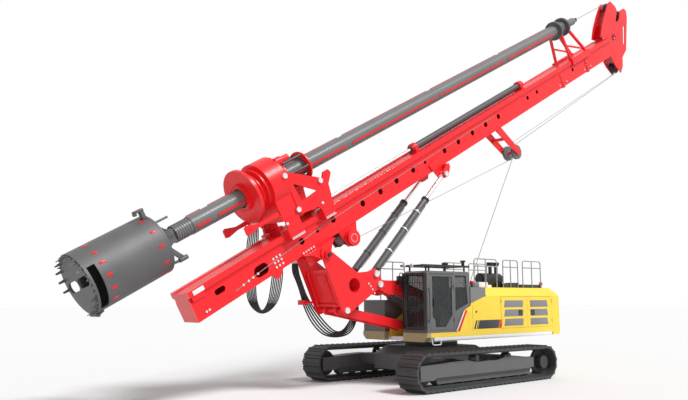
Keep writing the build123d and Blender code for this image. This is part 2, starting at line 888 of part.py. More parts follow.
# Handrails on the roofs: hoops with a middle rail, their top corners rounded
rail_radius = 18
rail_bend = 90
rail_y = upper_half_width - shoulder_run - 60
rail_top_z = hood_top_z + 910
handrail_table = (
    # front x, rear x, y, front foot z, rear foot z, top z
    (-800, -1960, rail_y, hood_top_z, hood_top_z, rail_top_z),
    (-2300, -3120, rail_y, hood_top_z, hood_top_z, rail_top_z),
    (-3400, -4450, rail_y, hood_top_z, hood_top_z, rail_top_z),
    (-2000, -3120, -rail_y, hood_top_z, hood_top_z, rail_top_z),
    (-3400, -4450, -rail_y, hood_top_z, hood_top_z, rail_top_z),
    (1080, -30, -rail_y, right_boxes[0][2], right_boxes[1][2], rail_top_z - 60),
)
middle_rail_drop = 230
with BuildPart() as handrails:
    for front, rear, y, front_foot, rear_foot, top in handrail_table:
        with BuildLine() as hoop:
            FilletPolyline(
                (front, y, front_foot),
                (front, y, top),
                (rear, y, top),
                (rear, y, rear_foot),
                radius=rail_bend,
            )
        with BuildSketch(Plane(origin=(front, y, front_foot), z_dir=(0, 0, 1))) as section:
            Circle(rail_radius)
        sweep(section.sketch, path=hoop.wire())
        bar((front, y, top - middle_rail_drop), (rear, y, top - middle_rail_drop), rail_radius)
        middle = (front + rear) / 2
        bar((middle, y, rear_foot), (middle, y, top), rail_radius)
save(handrails.part, "handrails")

# Air cleaner on the roof behind the cab, with its two rain caps
cleaner_y = upper_half_width - 466
cleaner_z, cleaner_radius = hood_top_z + 281, 190
cleaner_end_x, cleaner_start_x = -2400, -1400
with BuildPart() as air_cleaner:
    bar((cleaner_start_x, cleaner_y, cleaner_z), (cleaner_end_x, cleaner_y, cleaner_z), cleaner_radius)
    bar(
        (cleaner_start_x + 40, cleaner_y, cleaner_z),
        (cleaner_start_x, cleaner_y, cleaner_z),
        cleaner_radius - 60,
    )
    for x in (cleaner_start_x - 150, cleaner_end_x + 150):
        block((x - 40, cleaner_y - 150, hood_top_z), (x + 40, cleaner_y + 150, cleaner_z - 60))
    for x in (-1960, -2270):
        bar((x, cleaner_y, cleaner_z), (x, cleaner_y, cleaner_z + 440), 60)
        with BuildSketch(Plane.XY.offset(cleaner_z + 440)) as cap_low:
            with Locations((x, cleaner_y)):
                Circle(105)
        extrude(cap_low.sketch, amount=110, taper=-6)
save(air_cleaner.part, "air_cleaner")

# Main winch in the bay behind the linkage's towers
drum_half = 250
winch_cheek = 40
cheek_gap = slide_fit
with BuildPart() as main_winch_frame:
    x, z = main_drum_centre
    for hand in (1, -1):
        cheek_y = hand * (drum_half + cheek_gap + winch_cheek / 2)
        plate(
            (
                (x - 380, deck_low_z + 120),
                (x - 200, z + 150),
                (x + 200, z + 150),
                (x + 380, deck_low_z + 120),
            ),
            side(cheek_y),
            winch_cheek,
        )
        gear = sorted((hand * (drum_half + cheek_gap + winch_cheek), hand * (bay_half_width - 5)))
        cross_pin(main_drum_centre, *gear, 230)
save(main_winch_frame.part, "main_winch_frame")


def winch_drum(plane_place, drum_radius, half):
    """A drum with its two flanges, along y."""
    flange = 30
    cross_pin(plane_place, -half, half, drum_radius)
    for hand in (1, -1):
        near, far = sorted((hand * (half - flange), hand * half))
        cross_pin(plane_place, near, far, drum_radius + 75)


with BuildPart() as main_winch_drum:
    winch_drum(main_drum_centre, main_drum_radius - 75, drum_half)
save(main_winch_drum.part, "main_winch_drum")

# Boom: two arched arms from the towers to a cross box and its ears
arm_y = arm_inner_y + arm_width / 2
boom_ear_outer_y = frame_plate_inner_y - slide_fit
boom_ear = 70
boom_arch = (
    # x, z, from the root pin round the back and over to the cross box
    (boom_root[0] - 60, boom_root[1] - 150),
    (boom_root[0] - 150, boom_root[1] + 40),
    (boom_root[0] + 20, boom_root[1] + 150),
    (boom_tip[0] - 1560, boom_tip[1] + 20),
    (boom_tip[0] - 1050, boom_tip[1] + 130),
    (boom_tip[0] - 330, boom_tip[1] + 120),
    (boom_tip[0] - 330, boom_tip[1] - 250),
    (boom_tip[0] - 700, boom_tip[1] - 330),
    (boom_tip[0] - 1300, boom_tip[1] - 210),
    (boom_root[0] + 500, boom_root[1] - 120),
)
cross_box = (
    (boom_tip[0] - 560, boom_tip[1] + 115),
    (boom_tip[0] - 330, boom_tip[1] + 95),
    (boom_tip[0] - 222, boom_tip[1] - 60),
    (boom_tip[0] - 222, boom_tip[1] - 240),
    (boom_tip[0] - 560, boom_tip[1] - 300),
)
ear_outline = (
    (boom_tip[0] - 420, boom_tip[1] + 110),
    (boom_tip[0] - 60, boom_tip[1] + 130),
    (boom_tip[0] + 120, boom_tip[1] + 60),
    (boom_tip[0] + 120, boom_tip[1] - 70),
    (boom_tip[0] - 40, boom_tip[1] - 150),
    (boom_tip[0] - 420, boom_tip[1] - 290),
)
luff_eye = 85
luff_drift = 28
luff_slot_radius = luff_eye + luff_drift + 20
with BuildPart() as boom:
    for hand in (1, -1):
        plate(boom_arch, side(hand * arm_y), arm_width)
        plate(ear_outline, side(hand * (boom_ear_outer_y - boom_ear / 2)), boom_ear)
    plate(cross_box, side(0), 2 * boom_ear_outer_y)
    # a recess in the cross box where the luffing cylinders' eyes reach in
    block(
        (luff_tip[0] - 400, -arm_inner_y, luff_tip[1] - luff_slot_radius - 200),
        (luff_tip[0] + luff_slot_radius, arm_inner_y, luff_tip[1] + luff_slot_radius),
        Mode.SUBTRACT,
    )
    cross_pin(boom_root, -arm_y - arm_width, arm_y + arm_width, linkage_pin_radius + pin_fit, Mode.SUBTRACT)
    cross_pin(boom_tip, -boom_ear_outer_y, boom_ear_outer_y, linkage_pin_radius + pin_fit, Mode.SUBTRACT)
save(boom.part, "boom")

# Lower links: two square tubes side by side
link_depth_z = 255
with BuildPart() as support_rods:
    for hand in (1, -1):
        start = Vector(link_root[0], hand * arm_y, link_root[1])
        end = Vector(link_tip[0], hand * arm_y, link_tip[1])
        beam(start, end, arm_width, link_depth_z)
        faces = sorted((hand * arm_inner_y, hand * (arm_inner_y + arm_width)))
        for place in (link_root, link_tip):
            cross_pin(place, *faces, link_depth_z / 2 + 10)
            cross_pin(place, *faces, linkage_pin_radius + pin_fit, Mode.SUBTRACT)
    middle = (Vector(link_root[0], 0, link_root[1]) + Vector(link_tip[0], 0, link_tip[1])) / 2
    bar(middle - Vector(0, arm_y, 0), middle + Vector(0, arm_y, 0), 70)
save(support_rods.part, "support_rods")


def cylinder_axis(foot, tip, y):
    """The start and the unit direction of a cylinder from its foot to its tip."""
    start, end = Vector(foot[0], y, foot[1]), Vector(tip[0], y, tip[1])
    return start, end, (end - start).normalized()


luff_eye_half = 70
with BuildPart() as luff_barrels:
    for y in (luff_lane_y, -luff_lane_y):
        start, end, run = cylinder_axis(luff_root, luff_tip, y)
        bar(start, start + run * luff_barrel_length, luff_barrel_radius)
        cross_pin(luff_root, y - luff_eye_half, y + luff_eye_half, luff_eye + 10)
        cross_pin(luff_root, y - 90, y + 90, linkage_pin_radius - 15 + pin_fit, Mode.SUBTRACT)
        bar(start + run * 250, end, luff_rod_radius + pin_fit, Mode.SUBTRACT)
save(luff_barrels.part, "luff_barrels")

with BuildPart() as luff_rods:
    for y in (luff_lane_y, -luff_lane_y):
        start, end, run = cylinder_axis(luff_root, luff_tip, y)
        bar(start + run * 700, end, luff_rod_radius)
        cross_pin(luff_tip, y - luff_eye_half, y + luff_eye_half, luff_eye)
    # the pivot that is left open: both eyes and their pin, clear of the boom's box
    cross_pin(luff_tip, -arm_inner_y + slide_fit, arm_inner_y - slide_fit, luff_rod_radius)
save(luff_rods.part, "luff_rods")

# Mast-tilt frame: two plates with a cross box, carried by the boom and the links
plate_mid_y = frame_plate_inner_y + frame_plate / 2
tilt_outline = (
    (mast_pivot[0] + 190, mast_pivot[1] + 150),
    (mast_pivot[0] + 20, mast_pivot[1] + 165),
    (mast_pivot[0] - 170, mast_pivot[1] + 90),
    (3950, 3430),
    (3680, 3280),
    (mast_cylinder_foot[0] + 290, mast_cylinder_foot[1] + 60),
    (mast_cylinder_foot[0] + 60, mast_cylinder_foot[1] + 150),
    (mast_cylinder_foot[0] - 110, mast_cylinder_foot[1] + 100),
    (boom_tip[0] - 130, boom_tip[1] + 60),
    (boom_tip[0] - 130, boom_tip[1] - 80),
    (2990, 2760),
    (link_tip[0] - 130, link_tip[1] - 80),
    (link_tip[0] + 20, link_tip[1] - 130),
    (link_tip[0] + 150, link_tip[1] - 20),
    (mast_pivot[0] + 230, mast_pivot[1] + 30),
)
frame_hole = (3810, 2920)
frame_hole_radius = 205
pivot_lug_y = frame_plate_inner_y - slide_fit
with BuildPart() as tilt_frame:
    for hand in (1, -1):
        plate(tilt_outline, side(hand * plate_mid_y), frame_plate)
        # inner ear of each cylinder's clevis
        ear_y = hand * (mast_cylinder_y - cylinder_eye_width / 2 - slide_fit - 15)
        plate(
            (
                (mast_cylinder_foot[0] + 130, mast_cylinder_foot[1] + 60),
                (mast_cylinder_foot[0] - 60, mast_cylinder_foot[1] + 110),
                (mast_cylinder_foot[0] - 60, mast_cylinder_foot[1] - 130),
                (mast_cylinder_foot[0] + 330, mast_cylinder_foot[1] - 230),
            ),
            side(ear_y),
            30,
        )
        foot = sorted((hand * (abs(ear_y) - 15), hand * frame_plate_inner_y))
        cross_pin(mast_cylinder_foot, *foot, linkage_pin_radius)
        tip_pin = sorted((hand * (boom_ear_outer_y - boom_ear), hand * frame_plate_inner_y))
        cross_pin(boom_tip, *tip_pin, linkage_pin_radius)
    cross_pin(frame_hole, -frame_plate_inner_y, frame_plate_inner_y, frame_hole_radius + 45)
    hole_reach = plate_mid_y + frame_plate
    cross_pin(frame_hole, -hole_reach, hole_reach, frame_hole_radius, Mode.SUBTRACT)
    # the front web between the plates, and the cross tube behind the cylinders' feet
    beam(
        (mast_pivot[0] - 200, 0, mast_pivot[1] - 420),
        (link_tip[0] + 90, 0, link_tip[1] + 150),
        2 * frame_plate_inner_y,
        40,
    )
    beam(
        (mast_cylinder_foot[0] + 200, 0, mast_cylinder_foot[1] - 230),
        (mast_cylinder_foot[0] + 330, 0, mast_cylinder_foot[1] - 180),
        2 * frame_plate_inner_y,
        90,
    )
    cross_pin(link_tip, -frame_plate_inner_y, frame_plate_inner_y, linkage_pin_radius)
    cross_pin(mast_pivot, -frame_plate_inner_y, frame_plate_inner_y, mast_pivot_radius)
save(tilt_frame.part, "tilt_frame")

# Mast-raising cylinders, one each side of the mast
mast_pin_place = on_mast(*mast_cylinder_pin)
mast_cylinder_tip = (mast_pin_place.X, mast_pin_place.Z)
barrel_flat_radius = 205
with BuildPart() as mast_barrels:
    for y in (mast_cylinder_y, -mast_cylinder_y):
        start, end, run = cylinder_axis(mast_cylinder_foot, mast_cylinder_tip, y)
        bar(start + run * 60, start + run * mast_barrel_length, mast_barrel_radius)
        half = cylinder_eye_width / 2
        cross_pin(mast_cylinder_foot, y - half, y + half, cylinder_eye_radius + 10)
        # round flats beside the eye, clear of the clevis at every angle
        for low, high in ((y - 200, y - half), (y + half, y + 200)):
            cross_pin(mast_cylinder_foot, low, high, barrel_flat_radius, Mode.SUBTRACT)
        cross_pin(mast_cylinder_foot, y - half, y + half, linkage_pin_radius + pin_fit, Mode.SUBTRACT)
        bar(start + run * 560, end, mast_rod_radius + pin_fit, Mode.SUBTRACT)
save(mast_barrels.part, "mast_barrels")

with BuildPart() as mast_rods:
    for y in (mast_cylinder_y, -mast_cylinder_y):
        start, end, run = cylinder_axis(mast_cylinder_foot, mast_cylinder_tip, y)
        bar(start + run * 1050, end - run * 190, mast_rod_radius)
        beam(end - run * 230, end, cylinder_eye_width, 120)
        half = cylinder_eye_width / 2
        cross_pin(mast_cylinder_tip, y - half, y + half, cylinder_eye_radius)
save(mast_rods.part, "mast_rods")

# Mast: a hollow box whose front cap carries the two rails over a groove on each side
mast_section = (
    # half-width, low h, high h
    (mast_half_width, mast_rear_h, neck_low_h),
    (neck_half_width, neck_low_h, cap_back_h),
    (rail_half_width, cap_back_h, cap_front_h),
)
mast_hollow = (
    # half-width, low h, high h
    (mast_half_width - mast_wall, mast_rear_h + mast_wall, neck_low_h - mast_wall),
    (neck_half_width - mast_wall, neck_low_h - mast_wall, cap_front_h - mast_wall),
)
rail_mid_y = (rail_half_width + rail_inner_y) / 2
mast_holes = (
    # s, h, radius
    (2490, -1770, 95),
    (3120, -1750, 60),
    (3790, -1720, 95),
    (5060, -1780, 95),
    (5900, -1760, 95),
    (6700, -1740, 95),
    (7560, -1730, 95),
    (8200, -1730, 55),
    (9290, -1740, 95),
    (10110, -1740, 95),
    (10980, -1730, 95),
    (11830, -1730, 95),
    (12690, -1730, 95),
    (14800, -1720, 80),
    (15520, -1710, 80),
    (18510, -1720, 80),
)
mast_ovals = (
    # s, h, length, height
    (-380, -1720, 330, 150),
    (950, -1850, 480, 300),
)


def cross_blocks(table, mode=Mode.ADD):
    """Rectangles in a cross-section of the mast, centred across it."""
    for half, low_h, high_h in table:
        with Locations((0, (low_h + high_h) / 2)):
            Rectangle(2 * half, high_h - low_h, mode=mode)


def mast_box(low_s, high_s):
    """One section of the mast, open at both ends."""
    with BuildSketch(mast_cross(low_s)) as section:
        cross_blocks(mast_section)
        for hand in (1, -1):
            with Locations((hand * rail_mid_y, (cap_front_h + rail_front_h) / 2)):
                Rectangle(rail_half_width - rail_inner_y, rail_front_h - cap_front_h)
        cross_blocks(mast_hollow, Mode.SUBTRACT)
    extrude(section.sketch, amount=high_s - low_s)


def mast_frame(low_s, high_s):
    """A bolted flange round the mast's box, below the groove."""
    lip = flange_lip
    with BuildSketch(mast_cross(low_s)) as ring:
        cross_blocks(((mast_half_width + lip, mast_rear_h - lip, neck_low_h - flange_drop),))
        cross_blocks(mast_hollow, Mode.SUBTRACT)
    extrude(ring.sketch, amount=high_s - low_s)


def cut_holes(low_s, high_s):
    """The round openings through both sides."""
    reach = mast_half_width + mast_wall
    for s, h, radius in mast_holes:
        if low_s < s < high_s:
            mast_pin((s, h), -reach, reach, radius, Mode.SUBTRACT)


with BuildPart() as mast_lower:
    mast_box(mast_low_s, mast_split_s)
    mast_frame(mast_split_s - mast_flange, mast_split_s)
    cut_holes(mast_low_s, mast_split_s)
    for s, h, length, height in mast_ovals:
        with BuildSketch(mast_side(0)) as oval:
            with Locations((s, h)):
                SlotOverall(length, height)
        extrude(oval.sketch, amount=mast_half_width + mast_wall, both=True, mode=Mode.SUBTRACT)
    # the plate that closes the foot
    with BuildSketch(mast_cross(mast_low_s)) as foot_plate:
        cross_blocks(mast_section)
    extrude(foot_plate.sketch, amount=mast_wall)
save(mast_lower.part, "mast_lower")

with BuildPart() as mast_upper:
    mast_box(mast_split_s, mast_top_s)
    mast_frame(mast_split_s, mast_split_s + mast_flange)
    mast_frame(upper_flange_s - mast_flange, upper_flange_s + mast_flange)
    cut_holes(mast_split_s, mast_top_s)
save(mast_upper.part, "mast_upper")

# Brackets on the mast: pivot lugs under it, the raising cylinders' ears beside it,
# the crowd cylinder's two clamps on the cap and a lug under the foot
mast_pivot_s = -(mast_pivot[0] - kelly_foot[0]) * cos(radians(mast_angle)) + (
    mast_pivot[1] - kelly_foot[1]
) * sin(radians(mast_angle))
mast_pivot_h = (mast_pivot[0] - kelly_foot[0]) * sin(radians(mast_angle)) + (
    mast_pivot[1] - kelly_foot[1]
) * cos(radians(mast_angle))
pivot_lug = 280
bracket_outer_y = mast_cylinder_y + cylinder_eye_width / 2 + slide_fit
bracket_inner_y = mast_cylinder_y - cylinder_eye_width / 2 - slide_fit
cheek_y = mast_cylinder_y - mast_rod_radius - running_gap
bracket_plate = 35
pin_s, pin_h = mast_cylinder_pin
pivot_outline = (
    (mast_pivot_s - 620, mast_rear_h),
    (mast_pivot_s - 420, mast_rear_h - 110),
    (mast_pivot_s - 150, mast_pivot_h - 70),
    (mast_pivot_s + 40, mast_pivot_h - 160),
    (mast_pivot_s + 170, mast_pivot_h - 50),
    (mast_pivot_s + 330, mast_rear_h - 130),
    (mast_pivot_s + 520, mast_rear_h),
)
foot_lug_outline = (
    (mast_pivot_s - 1700, mast_rear_h),
    (mast_pivot_s - 1660, mast_rear_h - 150),
    (mast_pivot_s - 1540, mast_rear_h - 170),
    (mast_pivot_s - 1350, mast_rear_h),
)
cheek_outline = (
    (pin_s - 420, mast_rear_h + 250),
    (pin_s - 150, pin_h - 110),
    (pin_s + 130, pin_h - 110),
    (pin_s + 560, mast_rear_h + 190),
    (pin_s + 300, mast_rear_h + 410),
)
ear_outline = (
    (pin_s - 100, pin_h - 110),
    (pin_s + 110, pin_h - 110),
    (pin_s + 330, pin_h + 120),
    (pin_s + 330, pin_h + 240),
    (pin_s + 200, pin_h + 260),
    (pin_s - 100, pin_h + 110),
)
ear_web = (
    (pin_s + 190, pin_h + 150),
    (pin_s + 330, pin_h + 60),
    (pin_s + 330, pin_h + 240),
    (pin_s + 200, pin_h + 260),
)
clamp_length = 150
clamp_wall = 45
crowd_clamps = (crowd_low_s + 60, crowd_high_s - 60 - clamp_length)
with BuildPart() as mast_brackets:
    for hand in (1, -1):
        plate(pivot_outline, mast_side(hand * (pivot_lug_y - pivot_lug / 2)), pivot_lug)
        plate(foot_lug_outline, mast_side(hand * (mast_half_width - 40)), 80)
    pivot_bore = mast_pivot_radius + pin_fit
    mast_pin((mast_pivot_s, mast_pivot_h), -pivot_lug_y, pivot_lug_y, pivot_bore, Mode.SUBTRACT)
    for hand in (1, -1):
        plate(cheek_outline, mast_side(hand * (mast_half_width + cheek_y) / 2), cheek_y - mast_half_width)
        mast_pin(mast_cylinder_pin, *sorted((hand * cheek_y, hand * bracket_inner_y)), cylinder_eye_radius)
        plate(ear_outline, mast_side(hand * (bracket_outer_y + bracket_plate / 2)), bracket_plate)
        plate(ear_web, mast_side(hand * (cheek_y + bracket_outer_y) / 2), bracket_outer_y - cheek_y)
    for s in crowd_clamps:
        with BuildSketch(mast_cross(s)) as clamp:
            with Locations((0, crowd_h)):
                Circle(crowd_radius + clamp_wall)
            cross_blocks(((crowd_radius + clamp_wall, cap_front_h, crowd_h),))
            with Locations((0, crowd_h)):
                Circle(crowd_radius + pin_fit, mode=Mode.SUBTRACT)
            cross_blocks(((crowd_radius, cap_front_h - clamp_wall, cap_front_h),), Mode.SUBTRACT)
        extrude(clamp.sketch, amount=clamp_length)
save(mast_brackets.part, "mast_brackets")

# Head: two tall plates with their horns, a cross box and the sheaves' axles
head_outline = (
    (mast_top_s, cap_front_h),
    (21800, -1160),
    (22200, -760),
    (22800, -330),
    (23400, 20),
    (23590, 30),
    (23890, -280),
    (23940, -480),
    (23560, -860),
    (23620, -1010),
    (23900, -900),
    (24250, -560),
    (24640, -560),
    (24780, -700),
    (24690, -1000),
    (24300, -1520),
    (23700, -2310),
    (23170, -2510),
    (22960, -2860),
    (22620, -3080),
    (22300, -2600),
    (mast_top_s, mast_rear_h),
)
head_plate_y = 210
head_plate = 40
head_window = ((24080, -1250), (24230, -1330), (23760, -2010), (23600, -1990))
head_hole = (22900, -1500)
head_hole_radius = 190
axle_radius = 55
sheave_places = {
    # name: s, h, radius, half-width
    "head_sheave_front": (23500, -262, 262, 45),
    "head_sheave_rear": (24330, -800, 240, 45),
    "head_sheave_low": (22540, -2760, 262, 90),
}
rung_radius = 16
rung_first = (23870, -1150)
rung_step = (-95, -130)
rung_count = 6
with BuildPart() as mast_head:
    for hand in (1, -1):
        plate(head_outline, mast_side(hand * head_plate_y), head_plate)
        plate(head_window, mast_side(hand * head_plate_y), head_plate, Mode.SUBTRACT)
    reach = head_plate_y + head_plate
    mast_pin(head_hole, -reach, reach, head_hole_radius, Mode.SUBTRACT)
    with BuildSketch(mast_cross(mast_top_s)) as base:
        cross_blocks(mast_section)
    extrude(base.sketch, amount=120)
    plate(
        ((22350, -1250), (22800, -800), (22850, -860), (22400, -1310)),
        mast_side(0),
        2 * head_plate_y,
    )
    for k in range(rung_count):
        place = (rung_first[0] + k * rung_step[0], rung_first[1] + k * rung_step[1])
        mast_pin(place, -head_plate_y, head_plate_y, rung_radius)
    for s, h, radius, half in sheave_places.values():
        mast_pin((s, h), -head_plate_y, head_plate_y, axle_radius)
save(mast_head.part, "mast_head")


def sheave(place, y_low, y_high, radius, bore):
    """A wheel with a round rope groove and its bore, across the mast at (s, h)."""
    half = (y_high - y_low) / 2
    groove = half * 0.7
    centre = on_mast(*place, (y_low + y_high) / 2)
    with BuildSketch(Plane(origin=centre, x_dir=(0, 1, 0), z_dir=mast_run)) as section:
        with Locations((0, (radius + bore) / 2)):
            Rectangle(2 * half, radius - bore)
        with Locations((0, radius)):
            Circle(groove, mode=Mode.SUBTRACT)
    axis = Axis(origin=on_mast(*place, 0), direction=(0, 1, 0))
    revolve(section.sketch, axis=axis)


for name, (s, h, radius, half) in sheave_places.items():
    with BuildPart() as wheel:
        sheave((s, h), -half, half, radius, axle_radius + pin_fit)
    save(wheel.part, name)

# Rope guide behind the mast: two arms with two sheaves between them
guide_place = (13230, -3300)
guide_axle_radius = 50
guide_sheave_radius = 270
guide_sheave_y = 190
guide_sheave_half = 45
guide_arm_y = 290
guide_arm = 50
guide_s, guide_h = guide_place
guide_arm_outline = (
    (guide_s - 900, mast_rear_h),
    (guide_s - 560, mast_rear_h),
    (guide_s + 120, guide_h - 20),
    (guide_s + 60, guide_h - 110),
    (guide_s - 110, guide_h - 60),
)
with BuildPart() as rope_guide:
    for hand in (1, -1):
        plate(guide_arm_outline, mast_side(hand * guide_arm_y), guide_arm)
    mast_pin(guide_place, -guide_arm_y, guide_arm_y, guide_axle_radius)
    mast_pin((guide_s - 480, guide_h + 700), -guide_arm_y, guide_arm_y, 60)
save(rope_guide.part, "rope_guide")

with BuildPart() as guide_sheaves:
    for y in (-guide_sheave_y, guide_sheave_y):
        low_y, high_y = y - guide_sheave_half, y + guide_sheave_half
        sheave(guide_place, low_y, high_y, guide_sheave_radius, guide_axle_radius + pin_fit)
save(guide_sheaves.part, "guide_sheaves")

# Second winch under the mast, its gear case on the cab's side
aux_half = 260
aux_cheek = 50
aux_flange = 30
aux_s, aux_h = aux_drum_place
aux_cheek_outline = (
    (aux_s - 330, mast_rear_h),
    (aux_s - 180, aux_h - 190),
    (aux_s + 200, aux_h - 190),
    (aux_s + 430, mast_rear_h),
)
aux_case_y = aux_half + slide_fit + aux_cheek
with BuildPart() as aux_winch_frame:
    for hand in (1, -1):
        plate(aux_cheek_outline, mast_side(hand * (aux_half + slide_fit + aux_cheek / 2)), aux_cheek)
    mast_pin(aux_drum_place, aux_case_y, aux_case_y + 90, 240)
    mast_pin(aux_drum_place, aux_case_y + 90, aux_case_y + 140, 170)
save(aux_winch_frame.part, "aux_winch_frame")

with BuildPart() as aux_winch_drum:
    mast_pin(aux_drum_place, -aux_half, aux_half, aux_drum_radius - 60)
    for low_y in (-aux_half, aux_half - aux_flange):
        mast_pin(aux_drum_place, low_y, low_y + aux_flange, aux_drum_radius + 20)
save(aux_winch_drum.part, "aux_winch_drum")

# Crowd cylinder on the mast's cap
with BuildPart() as crowd_barrel:
    tube(
        on_mast(crowd_low_s, crowd_h),
        on_mast(crowd_high_s, crowd_h),
        crowd_radius,
        crowd_rod_radius + pin_fit,
    )
    bar(on_mast(crowd_high_s, crowd_h), on_mast(crowd_high_s + 60, crowd_h), crowd_radius)
save(crowd_barrel.part, "crowd_barrel")

with BuildPart() as crowd_rod:
    rod_top_s = crowd_low_s + crowd_stroke_down + 600
    bar(on_mast(crowd_lug_s, crowd_h), on_mast(rod_top_s, crowd_h), crowd_rod_radius)
save(crowd_rod.part, "crowd_rod")

# Sled: side plates with their guide shoes round the rails
shoe_places = ((2050, 2560), (3390, 3820))
shoe_wall = 60
shoe_front = rail_front_h + shoe_gap
shoe_back = cap_back_h - shoe_gap
shoe_inner_y = rail_half_width + shoe_gap
shoe_outer_y = sled_plate_y + sled_plate / 2
claw_inner_y = neck_half_width + running_gap
pad_inner_y = 300
sled_outline = (
    (drive_high_s, 120),
    (drive_high_s + 130, 130),
    (3560, -330),
    (3790, -470),
    (3900, -330),
    (4110, -330),
    (4160, -450),
    (3930, -700),
    (3860, -1150),
    (3860, shoe_front + shoe_wall),
    (3390, shoe_front + shoe_wall),
    (3300, -1120),
    (drive_high_s + 60, -1060),
    (drive_high_s, -980),
)
sled_opening = ((2770, -200), (2840, -760), (3460, -700))
leg_outline = (
    (shoe_places[0][0], shoe_front),
    (shoe_places[0][1], shoe_front),
    (shoe_places[0][1], case_low_h),
    (shoe_places[0][0] + 60, case_low_h),
)
tie_outline = ((3440, -1200), (3800, -1200), (3800, -1100), (3440, -1100))


def rail_shoe(low_s, high_s, outer_y, hand):
    """A guide shoe: a pad in front of the rail, one beside it and a claw in the groove."""
    for inner_y, low_h, high_h in (
        (pad_inner_y, shoe_front, shoe_front + shoe_wall),
        (shoe_inner_y, shoe_back - shoe_wall, shoe_front + shoe_wall),
        (claw_inner_y, shoe_back - shoe_wall, shoe_back),
    ):
        plate(
            ((low_s, low_h), (high_s, low_h), (high_s, high_h), (low_s, high_h)),
            mast_side(hand * (inner_y + outer_y) / 2),
            outer_y - inner_y,
        )


with BuildPart() as sled:
    for hand in (1, -1):
        plate(sled_outline, mast_side(hand * sled_plate_y), sled_plate)
        plate(sled_opening, mast_side(hand * sled_plate_y), sled_plate, Mode.SUBTRACT)
        for low_s, high_s in shoe_places:
            rail_shoe(low_s, high_s, shoe_outer_y, hand)
        # leg from the lower shoe up to the case
        plate(leg_outline, mast_side(hand * (sled_plate_y - 20)), sled_plate + 40)
    plate(tie_outline, mast_side(0), 2 * sled_plate_y)
    mast_pin((3620, -480), -sled_plate_y, sled_plate_y, 60)
    tube(
        on_mast(tie_outline[1][0], crowd_h),
        on_mast(crowd_lug_s, crowd_h),
        crowd_rod_radius + 40,
        crowd_rod_radius * 0.5,
    )
save(sled.part, "sled")

# Rotary drive: a tombstone gear case with a stepped collar and its motors round the sleeve
case_half = sled_plate_y
collar_steps = (
    # low s, high s, radius
    (drive_low_s - 110, drive_low_s, 600),
    (drive_low_s - 210, drive_low_s - 110, 500),
    (drive_low_s - 300, drive_low_s - 210, 430),
    (drive_high_s, drive_high_s + 70, 520),
)
under_arm = (
    (drive_low_s, -680),
    (1290, -700),
    (950, -600),
    (870, -640),
    (870, -840),
    (960, -860),
    (1290, -800),
    (drive_low_s, -820),
)
under_arm_y = 500
drive_motors = (
    # h, y
    (-520, -300),
    (-520, 300),
    (480, -380),
    (480, 380),
)
motor_steps = (
    # low s, high s, radius
    (drive_high_s, drive_high_s + 200, 120),
    (drive_high_s + 200, drive_high_s + 480, 85),
)
with BuildPart() as rotary_drive:
    with BuildSketch(mast_cross(drive_low_s)) as case:
        Circle(case_radius)
        with Locations((0, case_low_h / 2)):
            Rectangle(2 * case_half, -case_low_h)
    extrude(case.sketch, amount=drive_high_s - drive_low_s)
    for low_s, high_s, radius in collar_steps:
        bar(on_mast(low_s, 0), on_mast(high_s, 0), radius)
    # the arms that reach past the disc
    for hand in (1, -1):
        plate(under_arm, mast_side(hand * under_arm_y), 60)
    for h, y in drive_motors:
        for low_s, high_s, radius in motor_steps:
            bar(on_mast(low_s, h, y), on_mast(high_s, h, y), radius)
    bar(
        on_mast(collar_steps[2][0] - 10, 0),
        on_mast(collar_steps[3][1] + 10, 0),
        sleeve_outer + pin_fit,
        Mode.SUBTRACT,
    )
save(rotary_drive.part, "rotary_drive")

cage_rods = 6
cage_rod_radius = 38
cage_plate = 45
disc_low_s = disc_s - disc_thickness / 2
disc_high_s = disc_s + disc_thickness / 2
sleeve_steps = (
    # low s, high s, radius
    (disc_low_s - 90, disc_low_s, 380),
    (disc_low_s, disc_high_s, disc_radius),
    (disc_high_s, cage_low_s, sleeve_outer),
    (cage_low_s - cage_plate, cage_low_s, cage_radius),
    (cage_high_s, cage_high_s + cage_plate, cage_radius),
    (cage_high_s + cage_plate, cage_high_s + 2 * cage_plate, cage_radius - 60),
)
with BuildPart() as drive_sleeve:
    for low_s, high_s, radius in sleeve_steps:
        bar(on_mast(low_s, 0), on_mast(high_s, 0), radius)
    for k in range(cage_rods):
        turn = radians(360 * k / cage_rods + 30)
        rod_circle = cage_radius - cage_rod_radius - 17
        h, y = rod_circle * cos(turn), rod_circle * sin(turn)
        bar(on_mast(cage_low_s, h, y), on_mast(cage_high_s, h, y), cage_rod_radius)
    bar(
        on_mast(sleeve_steps[0][0] - 10, 0),
        on_mast(sleeve_steps[-1][1] + 10, 0),
        sleeve_bore,
        Mode.SUBTRACT,
    )
save(drive_sleeve.part, "drive_sleeve")

